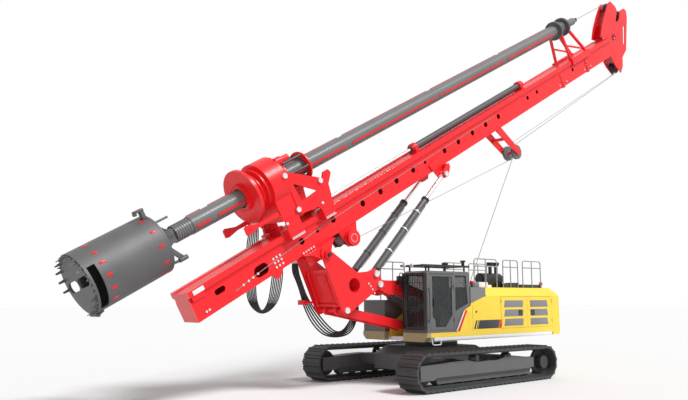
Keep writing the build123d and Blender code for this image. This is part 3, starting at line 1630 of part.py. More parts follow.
# Kelly: telescoping tubes. The outer one has three rows of drive keys, broken by lock
# pockets, and hangs by its top collar in the guide; its foot is ribbed
key_width = 60
key_turns = (15, 135, 255)
lock_pocket = 260
key_runs = (
    # low s, high s
    (-180, 250),
    (250 + lock_pocket, 5400),
    (5400 + lock_pocket, 9900),
    (9900 + lock_pocket, 14300),
    (14300 + lock_pocket, 18100),
)
rib_pitch = 70
rib_count = 7
rib_depth = 10
ribbed_radius = 226
collar_hang = 60
with BuildPart() as kelly_outer:
    bar(on_mast(kelly_low_s, 0), on_mast(ribbed_high_s, 0), ribbed_radius)
    for k in range(rib_count):
        low_s = kelly_low_s + rib_pitch * (k + 0.5)
        with BuildSketch(mast_cross(low_s)) as groove:
            Circle(ribbed_radius)
            Circle(ribbed_radius - rib_depth, mode=Mode.SUBTRACT)
        extrude(groove.sketch, amount=rib_pitch / 3, mode=Mode.SUBTRACT)
    bar(on_mast(ribbed_high_s, 0), on_mast(kelly_high_s, 0), kelly_radius)
    for turn in key_turns:
        for low_s, high_s in key_runs:
            with BuildSketch(mast_cross(low_s)) as key:
                with Locations((kelly_radius * sin(radians(turn)), kelly_radius * cos(radians(turn)))):
                    Rectangle(key_width, 2 * kelly_key - 8, rotation=-turn)
            extrude(key.sketch, amount=high_s - low_s)
    bar(
        on_mast(kelly_low_s + collar_hang, 0),
        on_mast(kelly_high_s, 0),
        kelly_bore,
        Mode.SUBTRACT,
    )
    collar_bore = middle_radius + pin_fit
    bar(on_mast(kelly_low_s, 0), on_mast(kelly_low_s + collar_hang, 0), collar_bore, Mode.SUBTRACT)
save(kelly_outer.part, "kelly_outer")

with BuildPart() as kelly_middle:
    bar(on_mast(middle_low_s, 0), on_mast(kelly_high_s - 400, 0), middle_radius)
    bar(on_mast(middle_low_s + collar_hang, 0), on_mast(kelly_high_s - 400, 0), middle_bore, Mode.SUBTRACT)
    collar_bore = core_radius + pin_fit
    bar(on_mast(middle_low_s, 0), on_mast(middle_low_s + collar_hang, 0), collar_bore, Mode.SUBTRACT)
save(kelly_middle.part, "kelly_middle")

swivel_eye_radius = 35
with BuildPart() as kelly_core:
    bar(on_mast(core_low_s, 0), on_mast(core_high_s, 0), core_radius)
    with BuildSketch(mast_cross(stub_low_s)) as stub:
        Rectangle(stub_size, stub_size)
    extrude(stub.sketch, amount=core_low_s - stub_low_s)
    # the swivel's eye, where the hoist rope's socket is pinned
    beam(on_mast(core_high_s - 50, 0), on_mast(swivel_eye_s, 0), 110, 170)
    mast_pin((swivel_eye_s, 0), -55, 55, 85)
    mast_pin((swivel_eye_s, 0), -55, 55, swivel_eye_radius, Mode.SUBTRACT)
save(kelly_core.part, "kelly_core")

# Kelly guide: a bearing between two flanges on an A-frame that runs on the rails
bearing_radius = 385
bearing_body_radius = 270
leg_size = 90
guide_rings = ((guide_low_s, guide_low_s + 110), (guide_high_s - 330, guide_high_s - 220))
guide_legs = (
    # start s, start h, foot s
    (guide_low_s + 55, -200, guide_low_s + 20),
    (guide_high_s - 275, -200, guide_high_s + 420),
)
foot_low_s, foot_high_s = guide_low_s - 80, guide_high_s + 540
guide_outer_y = rail_half_width + shoe_gap + shoe_wall
leg_foot_h = shoe_front + shoe_wall / 2
with BuildPart() as kelly_guide:
    for low_s, high_s in guide_rings:
        bar(on_mast(low_s, 0), on_mast(high_s, 0), bearing_radius)
    bar(on_mast(guide_low_s, 0), on_mast(guide_high_s - 220, 0), bearing_body_radius)
    bar(on_mast(guide_high_s - 220, 0), on_mast(guide_high_s, 0), bearing_body_radius - 50)
    for hand in (1, -1):
        for start_s, start_h, foot_s in guide_legs:
            beam(
                on_mast(start_s, start_h, hand * 260),
                on_mast(foot_s, leg_foot_h, hand * 340),
                leg_size,
                leg_size,
            )
        # the brace between the two legs of a side
        beam(
            on_mast(guide_low_s + 40, -700, hand * 302),
            on_mast(guide_high_s + 160, -1120, hand * 325),
            leg_size - 30,
            leg_size - 30,
        )
        rail_shoe(foot_low_s, foot_high_s, guide_outer_y, hand)
    bar(on_mast(guide_low_s - 10, 0), on_mast(guide_high_s + 10, 0), core_radius + pin_fit, Mode.SUBTRACT)
save(kelly_guide.part, "kelly_guide")

# Drilling bucket: a shell with two windows over its bottom, and the box for the stub
box_wall = 70
box_half = stub_size / 2 + box_wall
bucket_lid = 50
gusset_outline = (
    # offset along s from the shell's top, distance from the axis
    (0, bucket_radius - 60),
    (0, box_half),
    (box_top_s - shell_top_s - 20, box_half),
    (box_top_s - shell_top_s - 120, box_half + 60),
)
gusset_turns = (0, 90, 180, 270)
window_turns = ((61, 150), (210, 299))
push_rod_place = (500, 330)
hinge_h = -bucket_radius - 26
hinge_s = rim_low_s - 30
hinge_lug_y = (-190, 190)
hinge_lug = 60
hinge_eye_radius = 36
hinge_bolt_radius = 18
with BuildPart() as bucket_shell:
    bar(on_mast(rim_low_s, 0), on_mast(shell_top_s, 0), bucket_radius)
    shell_bore = bucket_radius - bucket_wall
    bar(on_mast(rim_low_s, 0), on_mast(shell_top_s - bucket_lid, 0), shell_bore, Mode.SUBTRACT)
    # the windows between the shell's lower edge and the bottom, as sectors
    for low_turn, high_turn in window_turns:
        turns = [radians(low_turn + (high_turn - low_turn) * k / 3) for k in range(4)]
        reach = 2 * bucket_radius
        with BuildSketch(mast_cross(rim_low_s)) as sector:
            with BuildLine():
                Polyline(
                    (0, 0),
                    *[(-reach * sin(turn), reach * cos(turn)) for turn in turns],
                    close=True,
                )
            make_face()
        extrude(sector.sketch, amount=window_top_s - rim_low_s, mode=Mode.SUBTRACT)
    with BuildSketch(mast_cross(shell_top_s)) as box:
        Rectangle(2 * box_half, 2 * box_half)
        Rectangle(stub_size + 2 * slide_fit, stub_size + 2 * slide_fit, mode=Mode.SUBTRACT)
    extrude(box.sketch, amount=box_top_s - shell_top_s)
    with BuildSketch(mast_cross(stub_low_s - running_gap)) as socket:
        Rectangle(stub_size + 2 * slide_fit, stub_size + 2 * slide_fit)
    extrude(socket.sketch, amount=shell_top_s - stub_low_s + running_gap, mode=Mode.SUBTRACT)
    for turn in gusset_turns:
        out = on_mast(0, cos(radians(turn)), sin(radians(turn))) - on_mast(0, 0)
        origin = on_mast(shell_top_s, 0)
        with BuildSketch(Plane(origin=origin, x_dir=mast_run, z_dir=Vector(*mast_run).cross(out))) as web:
            with BuildLine():
                Polyline(*gusset_outline, close=True)
            make_face()
        extrude(web.sketch, amount=15, both=True)
    # the rod that pushes the latch open, and the hook beside it
    rod_h, rod_y = push_rod_place
    bar(on_mast(shell_top_s, rod_h, rod_y), on_mast(shell_top_s + 420, rod_h, rod_y), 28)
    # hinge lugs at the foot
    for y in hinge_lug_y:
        plate(
            (
                (hinge_s - hinge_eye_radius, hinge_h - 20),
                (hinge_s + 150, -bucket_radius - 4),
                (hinge_s + 150, -bucket_radius + 25),
                (rim_low_s, -bucket_radius + 25),
                (rim_low_s, hinge_h + 10),
            ),
            mast_side(y),
            hinge_lug,
        )
        mast_pin((hinge_s, hinge_h), y - hinge_lug / 2, y + hinge_lug / 2, hinge_eye_radius)
    mast_pin((hinge_s, hinge_h), hinge_lug_y[0], hinge_lug_y[1], hinge_bolt_radius)
save(bucket_shell.part, "bucket_shell")

# The bucket's hinged bottom: a plate with its teeth and a hinge eye on the lugs' bolt
tooth_rows = (
    # distance from the axis, first turn, last turn, count
    (690, -100, 60, 9),
    (690, 120, 175, 4),
)
tooth_size = (34, 70)
tooth_height = 150
tooth_taper = 5
bottom_low_s = rim_low_s - pin_fit - bucket_floor
bottom_notch = 120
with BuildPart() as bucket_bottom:
    bar(on_mast(bottom_low_s, 0), on_mast(rim_low_s - pin_fit, 0), bucket_radius)
    # the two slots through which the soil comes in
    for turn in (20, 200):
        with BuildSketch(mast_cross(bottom_low_s)) as slot:
            with Locations((-330 * sin(radians(turn + 60)), 330 * cos(radians(turn + 60)))):
                SlotOverall(620, 2 * bottom_notch, rotation=turn + 150)
        extrude(slot.sketch, amount=bucket_floor + 1, mode=Mode.SUBTRACT)
    for distance, first, last, count in tooth_rows:
        for k in range(count):
            turn = radians(first + (last - first) * k / (count - 1))
            place = on_mast(bottom_low_s, distance * cos(turn), distance * sin(turn))
            out = place - on_mast(bottom_low_s, 0)
            with BuildSketch(Plane(origin=place, x_dir=out, z_dir=-Vector(*mast_run))) as root:
                Rectangle(*tooth_size)
            extrude(root.sketch, amount=tooth_height, taper=tooth_taper)
    eye_gap = slide_fit
    eye_half = hinge_lug_y[1] - hinge_lug / 2 - eye_gap
    plate(
        (
            (bottom_low_s, hinge_h),
            (rim_low_s - pin_fit, hinge_h),
            (rim_low_s - pin_fit, -bucket_radius + 60),
            (bottom_low_s, -bucket_radius + 60),
        ),
        mast_side(0),
        2 * eye_half,
    )
    mast_pin((hinge_s, hinge_h), -eye_half, eye_half, hinge_eye_radius)
    mast_pin((hinge_s, hinge_h), -eye_half, eye_half, hinge_bolt_radius + pin_fit, Mode.SUBTRACT)
save(bucket_bottom.part, "bucket_bottom")
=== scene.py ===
# %% [markdown]
# A rotary piling rig on crawler tracks, with its mast laid back over the cab.
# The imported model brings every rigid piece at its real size. These cells give the pieces
# their paints and metals, and add what is too small for it: bolts, hoses, ropes, lamps,
# stripes and seams. Lengths are in metres, +X is forward, +Y is the cab's side and +Z is up.

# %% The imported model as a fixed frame
import json
import math

import bpy
from mathutils import Matrix, Vector


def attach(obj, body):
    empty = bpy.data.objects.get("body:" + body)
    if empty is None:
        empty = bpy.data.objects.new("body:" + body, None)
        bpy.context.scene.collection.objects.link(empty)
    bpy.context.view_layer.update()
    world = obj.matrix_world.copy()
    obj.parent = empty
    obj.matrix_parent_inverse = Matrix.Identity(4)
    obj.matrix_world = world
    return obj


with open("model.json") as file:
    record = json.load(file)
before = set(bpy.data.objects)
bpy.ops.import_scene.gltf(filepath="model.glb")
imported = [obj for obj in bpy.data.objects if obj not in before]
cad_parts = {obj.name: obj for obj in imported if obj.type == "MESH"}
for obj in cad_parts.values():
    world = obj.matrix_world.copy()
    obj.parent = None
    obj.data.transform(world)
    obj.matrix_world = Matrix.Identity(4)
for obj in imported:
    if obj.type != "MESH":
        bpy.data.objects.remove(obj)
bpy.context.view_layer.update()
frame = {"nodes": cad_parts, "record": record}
nodes = frame["nodes"]

# %% [markdown]
# The camera stands low in front of the rig, on the cab's side. Its place and its turn
# come from fitting a few known points of the machine to where they show in the picture,
# so it is set by three angles instead of being pointed at a target.

# %% Camera
CAMERA_PLACE = Vector((17.7295, 16.0188, 2.5649))
CAMERA_YAW = math.radians(48.7363)
CAMERA_PITCH = math.radians(7.6201)
CAMERA_ROLL = math.radians(0.1574)
FOCAL_LENGTH = 38.32

look = Vector((
    -math.cos(CAMERA_YAW) * math.cos(CAMERA_PITCH),
    -math.sin(CAMERA_YAW) * math.cos(CAMERA_PITCH),
    math.sin(CAMERA_PITCH),
))
bpy.ops.object.camera_add(location=CAMERA_PLACE)
camera = bpy.context.object
upright = look.to_track_quat("-Z", "Y")
camera.rotation_mode = "QUATERNION"
camera.rotation_quaternion = upright @ Matrix.Rotation(-CAMERA_ROLL, 4, "Z").to_quaternion()
camera.data.lens = FOCAL_LENGTH
camera.data.sensor_width = 36
camera.data.clip_end = 400
scene = bpy.context.scene
scene.camera = camera
print("camera looks along", look)

# %% [markdown]
# A studio for a machine this long needs big, soft lamps. A wide sun is the simplest of
# them: its angle sets how soft the shadows are. The key comes from behind the cab's side,
# a weak fill from the front, and the pale world does the rest. The camera sees the
# floor and the world as white, and so do mirrors and glass.

# %% Light and backdrop
KEY_STRENGTH = 2.9
FILL_STRENGTH = 0.15
SKY_STRENGTH = 0.45


def add_sun(name, towards, strength, softness):
    """A soft sun that shines along a direction."""
    bpy.ops.object.light_add(type="SUN", location=(0, 0, 30))
    sun = bpy.context.object
    sun.name = name
    sun.rotation_euler = Vector(towards).to_track_quat("-Z", "Y").to_euler()
    sun.data.energy = strength
    sun.data.angle = math.radians(softness)
    return sun


add_sun("key_sun", (0.25, -0.75, -1.0), KEY_STRENGTH, 18)
add_sun("fill_sun", (-1.0, -0.35, -0.25), FILL_STRENGTH, 40)
scene.view_settings.view_transform = "Standard"
print("suns at", KEY_STRENGTH, "and", FILL_STRENGTH)


# %% [markdown]
# Finishes are made from nodes. Writing their sums as plain Python keeps them readable:
# a small class wraps a socket and turns + - * / into Math nodes, and one method adds any
# other kind of node with its settings and its inputs.

# %% Sums on sockets
class Shade:
    """A value in a material, which can stand in sums."""

    def __init__(self, tree, socket):
        self.tree = tree
        self.socket = socket

    def math(self, operation, *others):
        """A Math node on this value and others."""
        maths = self.tree.nodes.new("ShaderNodeMath")
        maths.operation = operation
        for entry, value in zip(maths.inputs, (self, *others)):
            connect(self.tree, entry, value)
        return Shade(self.tree, maths.outputs[0])

    def __add__(self, other):
        return self.math("ADD", other)

    def __mul__(self, other):
        return self.math("MULTIPLY", other)

    def __sub__(self, other):
        return self.math("SUBTRACT", other)

    def __truediv__(self, other):
        return self.math("DIVIDE", other)

    def __rsub__(self, other):
        return (self * -1.0) + other

    __radd__ = __add__
    __rmul__ = __mul__

    def above(self, edge, softness=0.05):
        """0 below an edge and 1 above it, with a soft step."""
        return ((self - edge) / softness).math("MULTIPLY_ADD", 1.0, 0.5).clamp()

    def clamp(self):
        """The value kept between 0 and 1."""
        return self.math("MINIMUM", 1.0).math("MAXIMUM", 0.0)


def connect(tree, entry, value):
    """Puts a link, a number or a colour into a socket."""
    if isinstance(value, Shade):
        tree.links.new(value.socket, entry)
    else:
        entry.default_value = value


class Finish:
    """A material on one Principled shader."""

    def __init__(self, name, colour, metallic=0.0, roughness=0.5):
        self.material = bpy.data.materials.new(name)
        self.material.use_nodes = True
        self.tree = self.material.node_tree
        self.shader = self.tree.nodes["Principled BSDF"]
        self.colour = (*colour, 1.0)
        self.material.diffuse_color = self.colour
        self.set("Metallic", metallic)
        self.set("Roughness", roughness)
        self.set("Base Color", self.colour)

    def set(self, name, value):
        """Sets or links one input of the shader."""
        connect(self.tree, self.shader.inputs[name], value)

    def node(self, kind, settings=None, out=0, **inputs):
        """Any node, with its settings and its inputs, as a value."""
        made = self.tree.nodes.new(kind)
        for key, value in (settings or {}).items():
            setattr(made, key, value)
        for key, value in inputs.items():
            connect(self.tree, made.inputs[key.replace("_", " ")], value)
        return Shade(self.tree, made.outputs[out])

    def place(self):
        """Where a point is on the machine, in metres."""
        return self.node("ShaderNodeTexCoord", out="Object")

    def across(self, axis):
        """One coordinate of a point on the machine."""
        return self.node("ShaderNodeSeparateXYZ", out="XYZ".index(axis), Vector=self.place())

    def noise(self, scale, detail=3.0, roughness=0.5):
        """Cloudy noise between 0 and 1."""
        return self.node("ShaderNodeTexNoise", Vector=self.place(), Scale=scale, Detail=detail,
                         Roughness=roughness)

    def mix(self, share, first, second):
        """One colour turning into another."""
        made = self.tree.nodes.new("ShaderNodeMix")
        made.data_type = "RGBA"
        connect(self.tree, made.inputs[0], share)
        connect(self.tree, made.inputs[6], first)
        connect(self.tree, made.inputs[7], second)
        return Shade(self.tree, made.outputs[2])

    def bump(self, height, distance, strength=1.0):
        """Raises and sinks the surface by a value."""
        return self.node("ShaderNodeBump", Height=height, Distance=distance, Strength=strength)


def darker(colour, share):
    """A colour scaled towards black."""
    return (*(part * share for part in colour[:3]), 1.0)


print("half of a mid grey is", darker((0.4, 0.4, 0.4), 0.5))

# %% [markdown]
# Machine paint is one colour under a clear coat. Close up it has a faint orange peel, and
# over a metre or two its gloss wanders a little with dust and handling. An image could carry
# this, but noise needs no unwrapping: a fine one makes the peel, broad ones the gloss.

# %% Paints
def paint(name, colour, roughness=0.36, coat=0.08, peel=0.00012, marks=()):
    """Sprayed enamel with a clear coat, and other colours where their masks say."""
    finish = Finish(name, colour, roughness=roughness)
    tone = finish.colour
    for mask, other in marks:
        tone = finish.mix(mask(finish), tone, (*other, 1.0))
    dust = finish.noise(0.9, 5.0, 0.6)
    speckle = finish.noise(38.0, 2.0)
    share = dust.above(0.58, 0.35) * 0.08 + speckle * 0.03
    finish.set("Base Color", finish.mix(share, tone, (0.0, 0.0, 0.0, 1.0)))
    finish.set("Roughness", dust * 0.22 + speckle * 0.06 + (roughness - 0.12))
    finish.set("Specular IOR Level", 0.3)
    finish.set("Coat Weight", coat)
    finish.set("Coat Roughness", 0.12)
    finish.set("Normal", finish.bump(finish.noise(60.0, 2.0), peel))
    return finish.material


RED = (0.86, 0.016, 0.022)
YELLOW = (0.93, 0.66, 0.065)
WHITE = (0.80, 0.80, 0.79)
CAB_GREY = (0.135, 0.135, 0.137)
FRAME_GREY = (0.115, 0.115, 0.117)
BARREL_GREY = (0.085, 0.086, 0.09)
KELLY_GREY = (0.155, 0.155, 0.157)
BUCKET_GREY = (0.125, 0.125, 0.127)
BLACK = (0.016, 0.016, 0.017)

red_paint = paint("red_paint", RED)
yellow_paint = paint("yellow_paint", YELLOW)
white_paint = paint("white_paint", WHITE)
cab_paint = paint("cab_paint", CAB_GREY, 0.38)
frame_paint = paint("frame_paint", FRAME_GREY, 0.5, 0.1, 0.0003)
barrel_paint = paint("barrel_paint", BARREL_GREY, 0.42, 0.2)
black_paint = paint("black_paint", BLACK, 0.42, 0.2)
print("machine paints are ready")


# %% [markdown]
# Tracks, wheels and the engine are castings with a coarse grain, and the bucket has a finer
# one. Chrome is nearly smooth, hoses and trim are matt, and the kelly's tubes are painted.
# One function per kind of surface lets its pieces differ only by colour, gloss and grain.

# %% Steels, rubber and glass
def cast(name, colour, roughness=0.62, grain=0.0015):
    """A casting or a forging, left dark."""
    finish = Finish(name, colour, metallic=0.35, roughness=roughness)
    rough = finish.noise(55.0, 4.0, 0.65)
    stain = finish.noise(2.2, 4.0)
    patches = stain * 0.6 + rough * 0.3
    finish.set("Base Color", finish.mix(patches, darker(colour, 1.25), darker(colour, 0.6)))
    finish.set("Roughness", rough * 0.25 + (roughness - 0.1))
    finish.set("Normal", finish.bump(rough, grain))
    return finish.material


def chromed(name):
    """Hard chrome on a cylinder's rod, polished and faintly streaked."""
    finish = Finish(name, (0.78, 0.79, 0.80), metallic=1.0, roughness=0.12)
    finish.set("Roughness", finish.noise(24.0, 3.0) * 0.12 + 0.08)
    return finish.material


def glazing(name):
    """Tinted safety glass."""
    finish = Finish(name, (0.035, 0.04, 0.042), roughness=0.05)
    finish.set("Alpha", 0.42)
    finish.set("Roughness", finish.noise(3.0, 2.0) * 0.06 + 0.02)
    return finish.material


def rubber(name, colour=(0.018, 0.018, 0.019)):
    """Matt rubber with a fine cloth print."""
    finish = Finish(name, colour, roughness=0.7)
    cloth_print = finish.noise(70.0, 1.0)
    wear = finish.noise(6.0, 3.0)
    finish.set("Base Color", finish.mix(wear, darker(colour, 0.8), darker(colour, 1.7)))
    finish.set("Normal", finish.bump(cloth_print, 0.0002))
    return finish.material


track_steel = cast("track_steel", (0.062, 0.062, 0.063))
wheel_steel = cast("wheel_steel", (0.055, 0.055, 0.056))
engine_iron = cast("engine_iron", (0.14, 0.14, 0.145))
kelly_steel = paint("kelly_steel", KELLY_GREY, 0.42, 0.1, 0.0003)
bucket_steel = cast("bucket_steel", BUCKET_GREY, 0.52, 0.0008)
chrome = chromed("chrome")
glass = glazing("glass")
trim = rubber("trim", (0.03, 0.03, 0.031))
hose_rubber = rubber("hose_rubber")
print("steels, rubber and glass are ready")

# %% [markdown]
# Much of the machine lies along its mast, which leans back. Its pieces could be turned one by
# one, but then every place would be a sum. Instead a helper gives a place by its distance
# along the kelly, its height off the kelly's axis and its distance across, and a matrix turns
# a piece modelled upright into the mast's own lie.

# %% Places on the mast
MAST_ANGLE = math.radians(28.686)
KELLY_FOOT = Vector((8.541, 0.0, 4.450))
ALONG = Vector((-math.cos(MAST_ANGLE), 0.0, math.sin(MAST_ANGLE)))
OUTWARD = Vector((math.sin(MAST_ANGLE), 0.0, math.cos(MAST_ANGLE)))
LEFT = Vector((0.0, 1.0, 0.0))
MAST = Matrix.Translation(KELLY_FOOT) @ Matrix((ALONG, -LEFT, OUTWARD)).transposed().to_4x4()


def on_mast(s, h, y=0.0):
    """A place on the mast: s along the kelly, h off its axis and y across."""
    return KELLY_FOOT + ALONG * s + OUTWARD * h + LEFT * y


print("the mast's head is at", on_mast(24.7, -0.8))

# %% [markdown]
# A few pieces carry two colours. Each extra colour has a mask, a sum that is 1 where it
# goes: the deck's white foot, the hood's grey roof, the red keys that stand proud of the
# kelly, the dark rods of the drive's cage and the dark rings of the kelly guide. Two masks
# paint light instead: a dull beige on the deck's nose is painted shade, and a paler red on
# the mast's foot and mouth is a painted highlight. Cutting the meshes apart would do it too,
# but these pieces are kept as they came.

# %% Pieces in two colours
# Painted shade: the dull beige below stands in for the shade on the deck's nose.
PAINTED_NOSE_SHADE = (0.42, 0.34, 0.17)
ROOF_GREY = (0.20, 0.20, 0.205)
KEY_RED = (0.80, 0.014, 0.02)
CAGE_GREY = (0.055, 0.055, 0.057)
# Painted highlight: the paler red below stands in for the light on the mast's foot and mouth.
PAINTED_HIGHLIGHT_RED = (0.80, 0.12, 0.115)
DECK_FOOT = 1.405
DECK_NOSE = 1.50
ROOF_FRONT = -1.12
SHOULDER_FOOT = 2.262
SHOULDER_SLOPE = 0.32
KEY_RADIUS = 0.246
GUIDE_RADIUS = 0.395
CAGE_LOW = 2.905
CAGE_HIGH = 3.695
MOUTH_EDGE = -1.243
RING_GREY = (0.10, 0.10, 0.102)


def lower_deck(finish):
    """The deck's side below its fold."""
    return 1.0 - finish.across("Z").above(DECK_FOOT, 0.004)


def deck_nose(finish):
    """The deck in front of the cab, where a dull beige is painted shade."""
    return finish.across("X").above(DECK_NOSE, 0.004)


def front_roof(finish):
    """The house's roof beside the cab, above the line that slopes down to the stripe."""
    slope = finish.across("Z") + finish.across("X") * SHOULDER_SLOPE
    return finish.across("X").above(ROOF_FRONT, 0.004) * slope.above(SHOULDER_FOOT, 0.004)


def off_axis(finish):
    """The squared distance from the kelly's axis."""
    forward = finish.across("X") - KELLY_FOOT.x
    upward = finish.across("Z") - KELLY_FOOT.z
    raised = forward * OUTWARD.x + upward * OUTWARD.z
    return raised * raised + finish.across("Y") * finish.across("Y")


def along_kelly(finish):
    """The distance along the kelly."""
    forward = finish.across("X") - KELLY_FOOT.x
    upward = finish.across("Z") - KELLY_FOOT.z
    return forward * ALONG.x + upward * ALONG.z


def kelly_keys(finish):
    """The outer faces of the three keys."""
    return off_axis(finish).above(KEY_RADIUS * KEY_RADIUS, 0.0006)


def cage_rods(finish):
    """The drive sleeve between the cage's two plates."""
    run = along_kelly(finish)
    return run.above(CAGE_LOW, 0.004) * (1.0 - run.above(CAGE_HIGH, 0.004))


def guide_rings(finish):
    """The kelly guide's rings, without its legs."""
    return 1.0 - off_axis(finish).above(GUIDE_RADIUS * GUIDE_RADIUS, 0.004)


def mast_mouth(finish):
    """The foot plate and the mouth of the mast, which get a painted highlight."""
    return 1.0 - along_kelly(finish).above(MOUTH_EDGE, 0.006)


deck_paint = paint("deck_paint", YELLOW, marks=((lower_deck, WHITE), (deck_nose, PAINTED_NOSE_SHADE)))
hood_paint = paint("hood_paint", YELLOW, marks=((front_roof, ROOF_GREY),))
keyed_steel = paint("keyed_steel", KELLY_GREY, 0.42, 0.1, 0.0003, marks=((kelly_keys, KEY_RED),))
cage_paint = paint("cage_paint", RED, marks=((cage_rods, CAGE_GREY),))
guide_paint = paint("guide_paint", RED, marks=((guide_rings, RING_GREY),))
mouth_paint = paint("mouth_paint", RED, marks=((mast_mouth, PAINTED_HIGHLIGHT_RED),))
print("two-coloured paints are ready")

# %% [markdown]
# Some finishes belong only to small pieces: bright zinc on the bolts, steel on the ropes, a
# light grey mesh in the louvres, lamp glass, red marks and black plates. Most reuse the
# paint, because a second function for the same enamel would say nothing new.

# %% Finishes for small pieces
def plated(name, colour, roughness=0.3):
    """Zinc on a bolt, bright with a faint cloud."""
    finish = Finish(name, colour, metallic=0.55, roughness=roughness)
    cloud = finish.noise(30.0, 3.0)
    finish.set("Base Color", finish.mix(cloud, darker(colour, 1.1), darker(colour, 0.8)))
    finish.set("Roughness", cloud * 0.2 + (roughness - 0.1))
    return finish.material


def lamp_glass(name, colour):
    """Moulded red or clear plastic over a lamp."""
    finish = Finish(name, colour, roughness=0.15)
    ribs = finish.node("ShaderNodeTexWave", Vector=finish.place(), Scale=30.0)
    finish.set("Base Color", finish.mix(ribs * 0.4, finish.colour, darker(colour, 0.5)))
    finish.set("Normal", finish.bump(ribs, 0.001))
    return finish.material


zinc = plated("zinc", (0.80, 0.80, 0.80))
steel_rope = plated("steel_rope", (0.30, 0.30, 0.31), 0.5)
mesh_grey = paint("mesh_grey", (0.30, 0.30, 0.305), 0.55, 0.0)
rail_grey = paint("rail_grey", (0.33, 0.33, 0.33), 0.45, 0.1)
red_lamp = lamp_glass("red_lamp", (0.75, 0.01, 0.015))
clear_lamp = lamp_glass("clear_lamp", (0.62, 0.63, 0.64))
mark_red = paint("mark_red", (0.78, 0.012, 0.02))
plate_black = paint("plate_black", (0.035, 0.035, 0.037), 0.4, 0.2)
print("finishes for small pieces are ready")

# %% [markdown]
# Each carried-over piece names the slot of its finish in the record, so one table from
# slot to material dresses the whole machine at once. A second, short table names the pieces
# that carry two colours or a colour of their own.

# %% Dress the carried-over pieces
FINISHES = {
    "red_paint": red_paint,
    "yellow_paint": yellow_paint,
    "cab_grey": cab_paint,
    "frame_grey": frame_paint,
    "barrel_grey": barrel_paint,
    "kelly_steel": kelly_steel,
    "bucket_grey": bucket_steel,
    "black_paint": black_paint,
    "track_steel": track_steel,
    "wheel_steel": wheel_steel,
    "chrome_rod": chrome,
    "cab_glazing": glass,
    "cab_trim": trim,
    "engine_iron": engine_iron,
}
SPECIAL = {
    "deck": deck_paint,
    "hood": hood_paint,
    "kelly_outer": keyed_steel,
    "drive_sleeve": cage_paint,
    "mast_lower": mouth_paint,
    "kelly_guide": guide_paint,
    "handrails": rail_grey,
}
for part in frame["record"]["subparts"]:
    mesh = nodes[part["node"]].data
    mesh.materials.clear()
    mesh.materials.append(SPECIAL.get(part["node"], FINISHES[part["material_slot"]]))

# %% [markdown]
# Small pieces start as primitives and are shaped in edit mode. Nothing else may be selected
# while an operator runs, so each helper clears the selection first. Faces are chosen by a
# test on their centre and their normal, which does in code what a click does by hand.

# %% Helpers for small pieces
def alone(piece):
    """Selects one piece and nothing else."""
    bpy.ops.object.select_all(action="DESELECT")
    piece.select_set(True)
    bpy.context.view_layer.objects.active = piece


def settle(piece):
    """Puts a piece's place and turn into its mesh."""
    alone(piece)
    bpy.ops.object.transform_apply(location=True, rotation=True, scale=True)
    return piece


def edit(piece, wanted, *steps):
    """Runs steps in edit mode on the faces that pass a test."""
    alone(piece)
    bpy.ops.object.mode_set(mode="EDIT")
    bpy.ops.mesh.select_mode(type="FACE")
    bpy.ops.mesh.select_all(action="DESELECT")
    bpy.ops.object.mode_set(mode="OBJECT")
    for face in piece.data.polygons:
        face.select = wanted(face.center, face.normal)
    bpy.ops.object.mode_set(mode="EDIT")
    for step in steps:
        step()
    bpy.ops.object.mode_set(mode="OBJECT")


def rounded(piece, width, segments=2):
    """Rounds the sharp edges with a bevel that is applied."""
    alone(piece)
    bevel = piece.modifiers.new("edges", "BEVEL")
    bevel.width = width
    bevel.segments = segments
    bpy.ops.object.modifier_apply(modifier=bevel.name)
    bpy.ops.object.shade_smooth_by_angle(angle=math.radians(35))
    return piece


def hand_over(piece, name, body, material):
    """Names a finished piece, gives it its finish and lets it ride on a body."""
    settle(piece)
    piece.name = name
    piece.data.materials.clear()
    piece.data.materials.append(material)
    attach(piece, body)
    return piece


def join(pieces):
    """Joins pieces into the first of them."""
    bpy.ops.object.select_all(action="DESELECT")
    for piece in pieces:
        piece.select_set(True)
    bpy.context.view_layer.objects.active = pieces[0]
    if len(pieces) > 1:
        bpy.ops.object.join()
    return pieces[0]


print("helpers for selecting, editing and joining are ready")

# %% [markdown]
# The rig's small fittings are a few plain forms: plates and boxes, caps and bolt heads,
# bands round a tube, and bent lines. Each could be drawn where it sits. Modelling the form
# once at the origin and giving each copy its own mesh keeps the edges alike and the code short.

# %% Slabs, bosses, collars and tubes
def slab(low, high, edge=0.004, lean=0.0, inset=0.0, sunk=0.0):
    """A block with rounded edges. Its top may lean along x and its outer face may be sunk."""
    low, high = Vector(low), Vector(high)
    bpy.ops.object.select_all(action="DESELECT")
    bpy.ops.mesh.primitive_cube_add(size=1, location=(low + high) / 2)
    piece = bpy.context.object
    piece.scale = high - low
    settle(piece)
    if lean:
        edit(piece, lambda centre, normal: normal.z > 0.9,
             lambda: bpy.ops.transform.translate(value=(lean, 0, 0)))
    if inset:
        edit(piece, lambda centre, normal: normal.y > 0.9,
             lambda: bpy.ops.mesh.inset(thickness=inset),
             lambda: bpy.ops.transform.translate(value=(0, -sunk, 0)))
    return rounded(piece, edge)


def mast_slab(low, high, edge=0.004):
    """A slab whose corners are places on the mast: s, y and h."""
    piece = slab((low[0], -high[1], low[2]), (high[0], -low[1], high[2]), edge)
    piece.matrix_world = MAST
    return settle(piece)


def boss(radius, height, sides=24, dish=0.2):
    """A round or six-sided cap on the origin, with a sunk middle and a rounded rim."""
    bpy.ops.object.select_all(action="DESELECT")
    bpy.ops.mesh.primitive_cylinder_add(
        vertices=sides, radius=radius, depth=height, location=(0, 0, height / 2))
    piece = settle(bpy.context.object)
    edit(piece, lambda centre, normal: normal.z > 0.9,
         lambda: bpy.ops.mesh.inset(thickness=radius * 0.35),
         lambda: bpy.ops.transform.translate(value=(0, 0, -height * dish)))
    return rounded(piece, radius * 0.1)


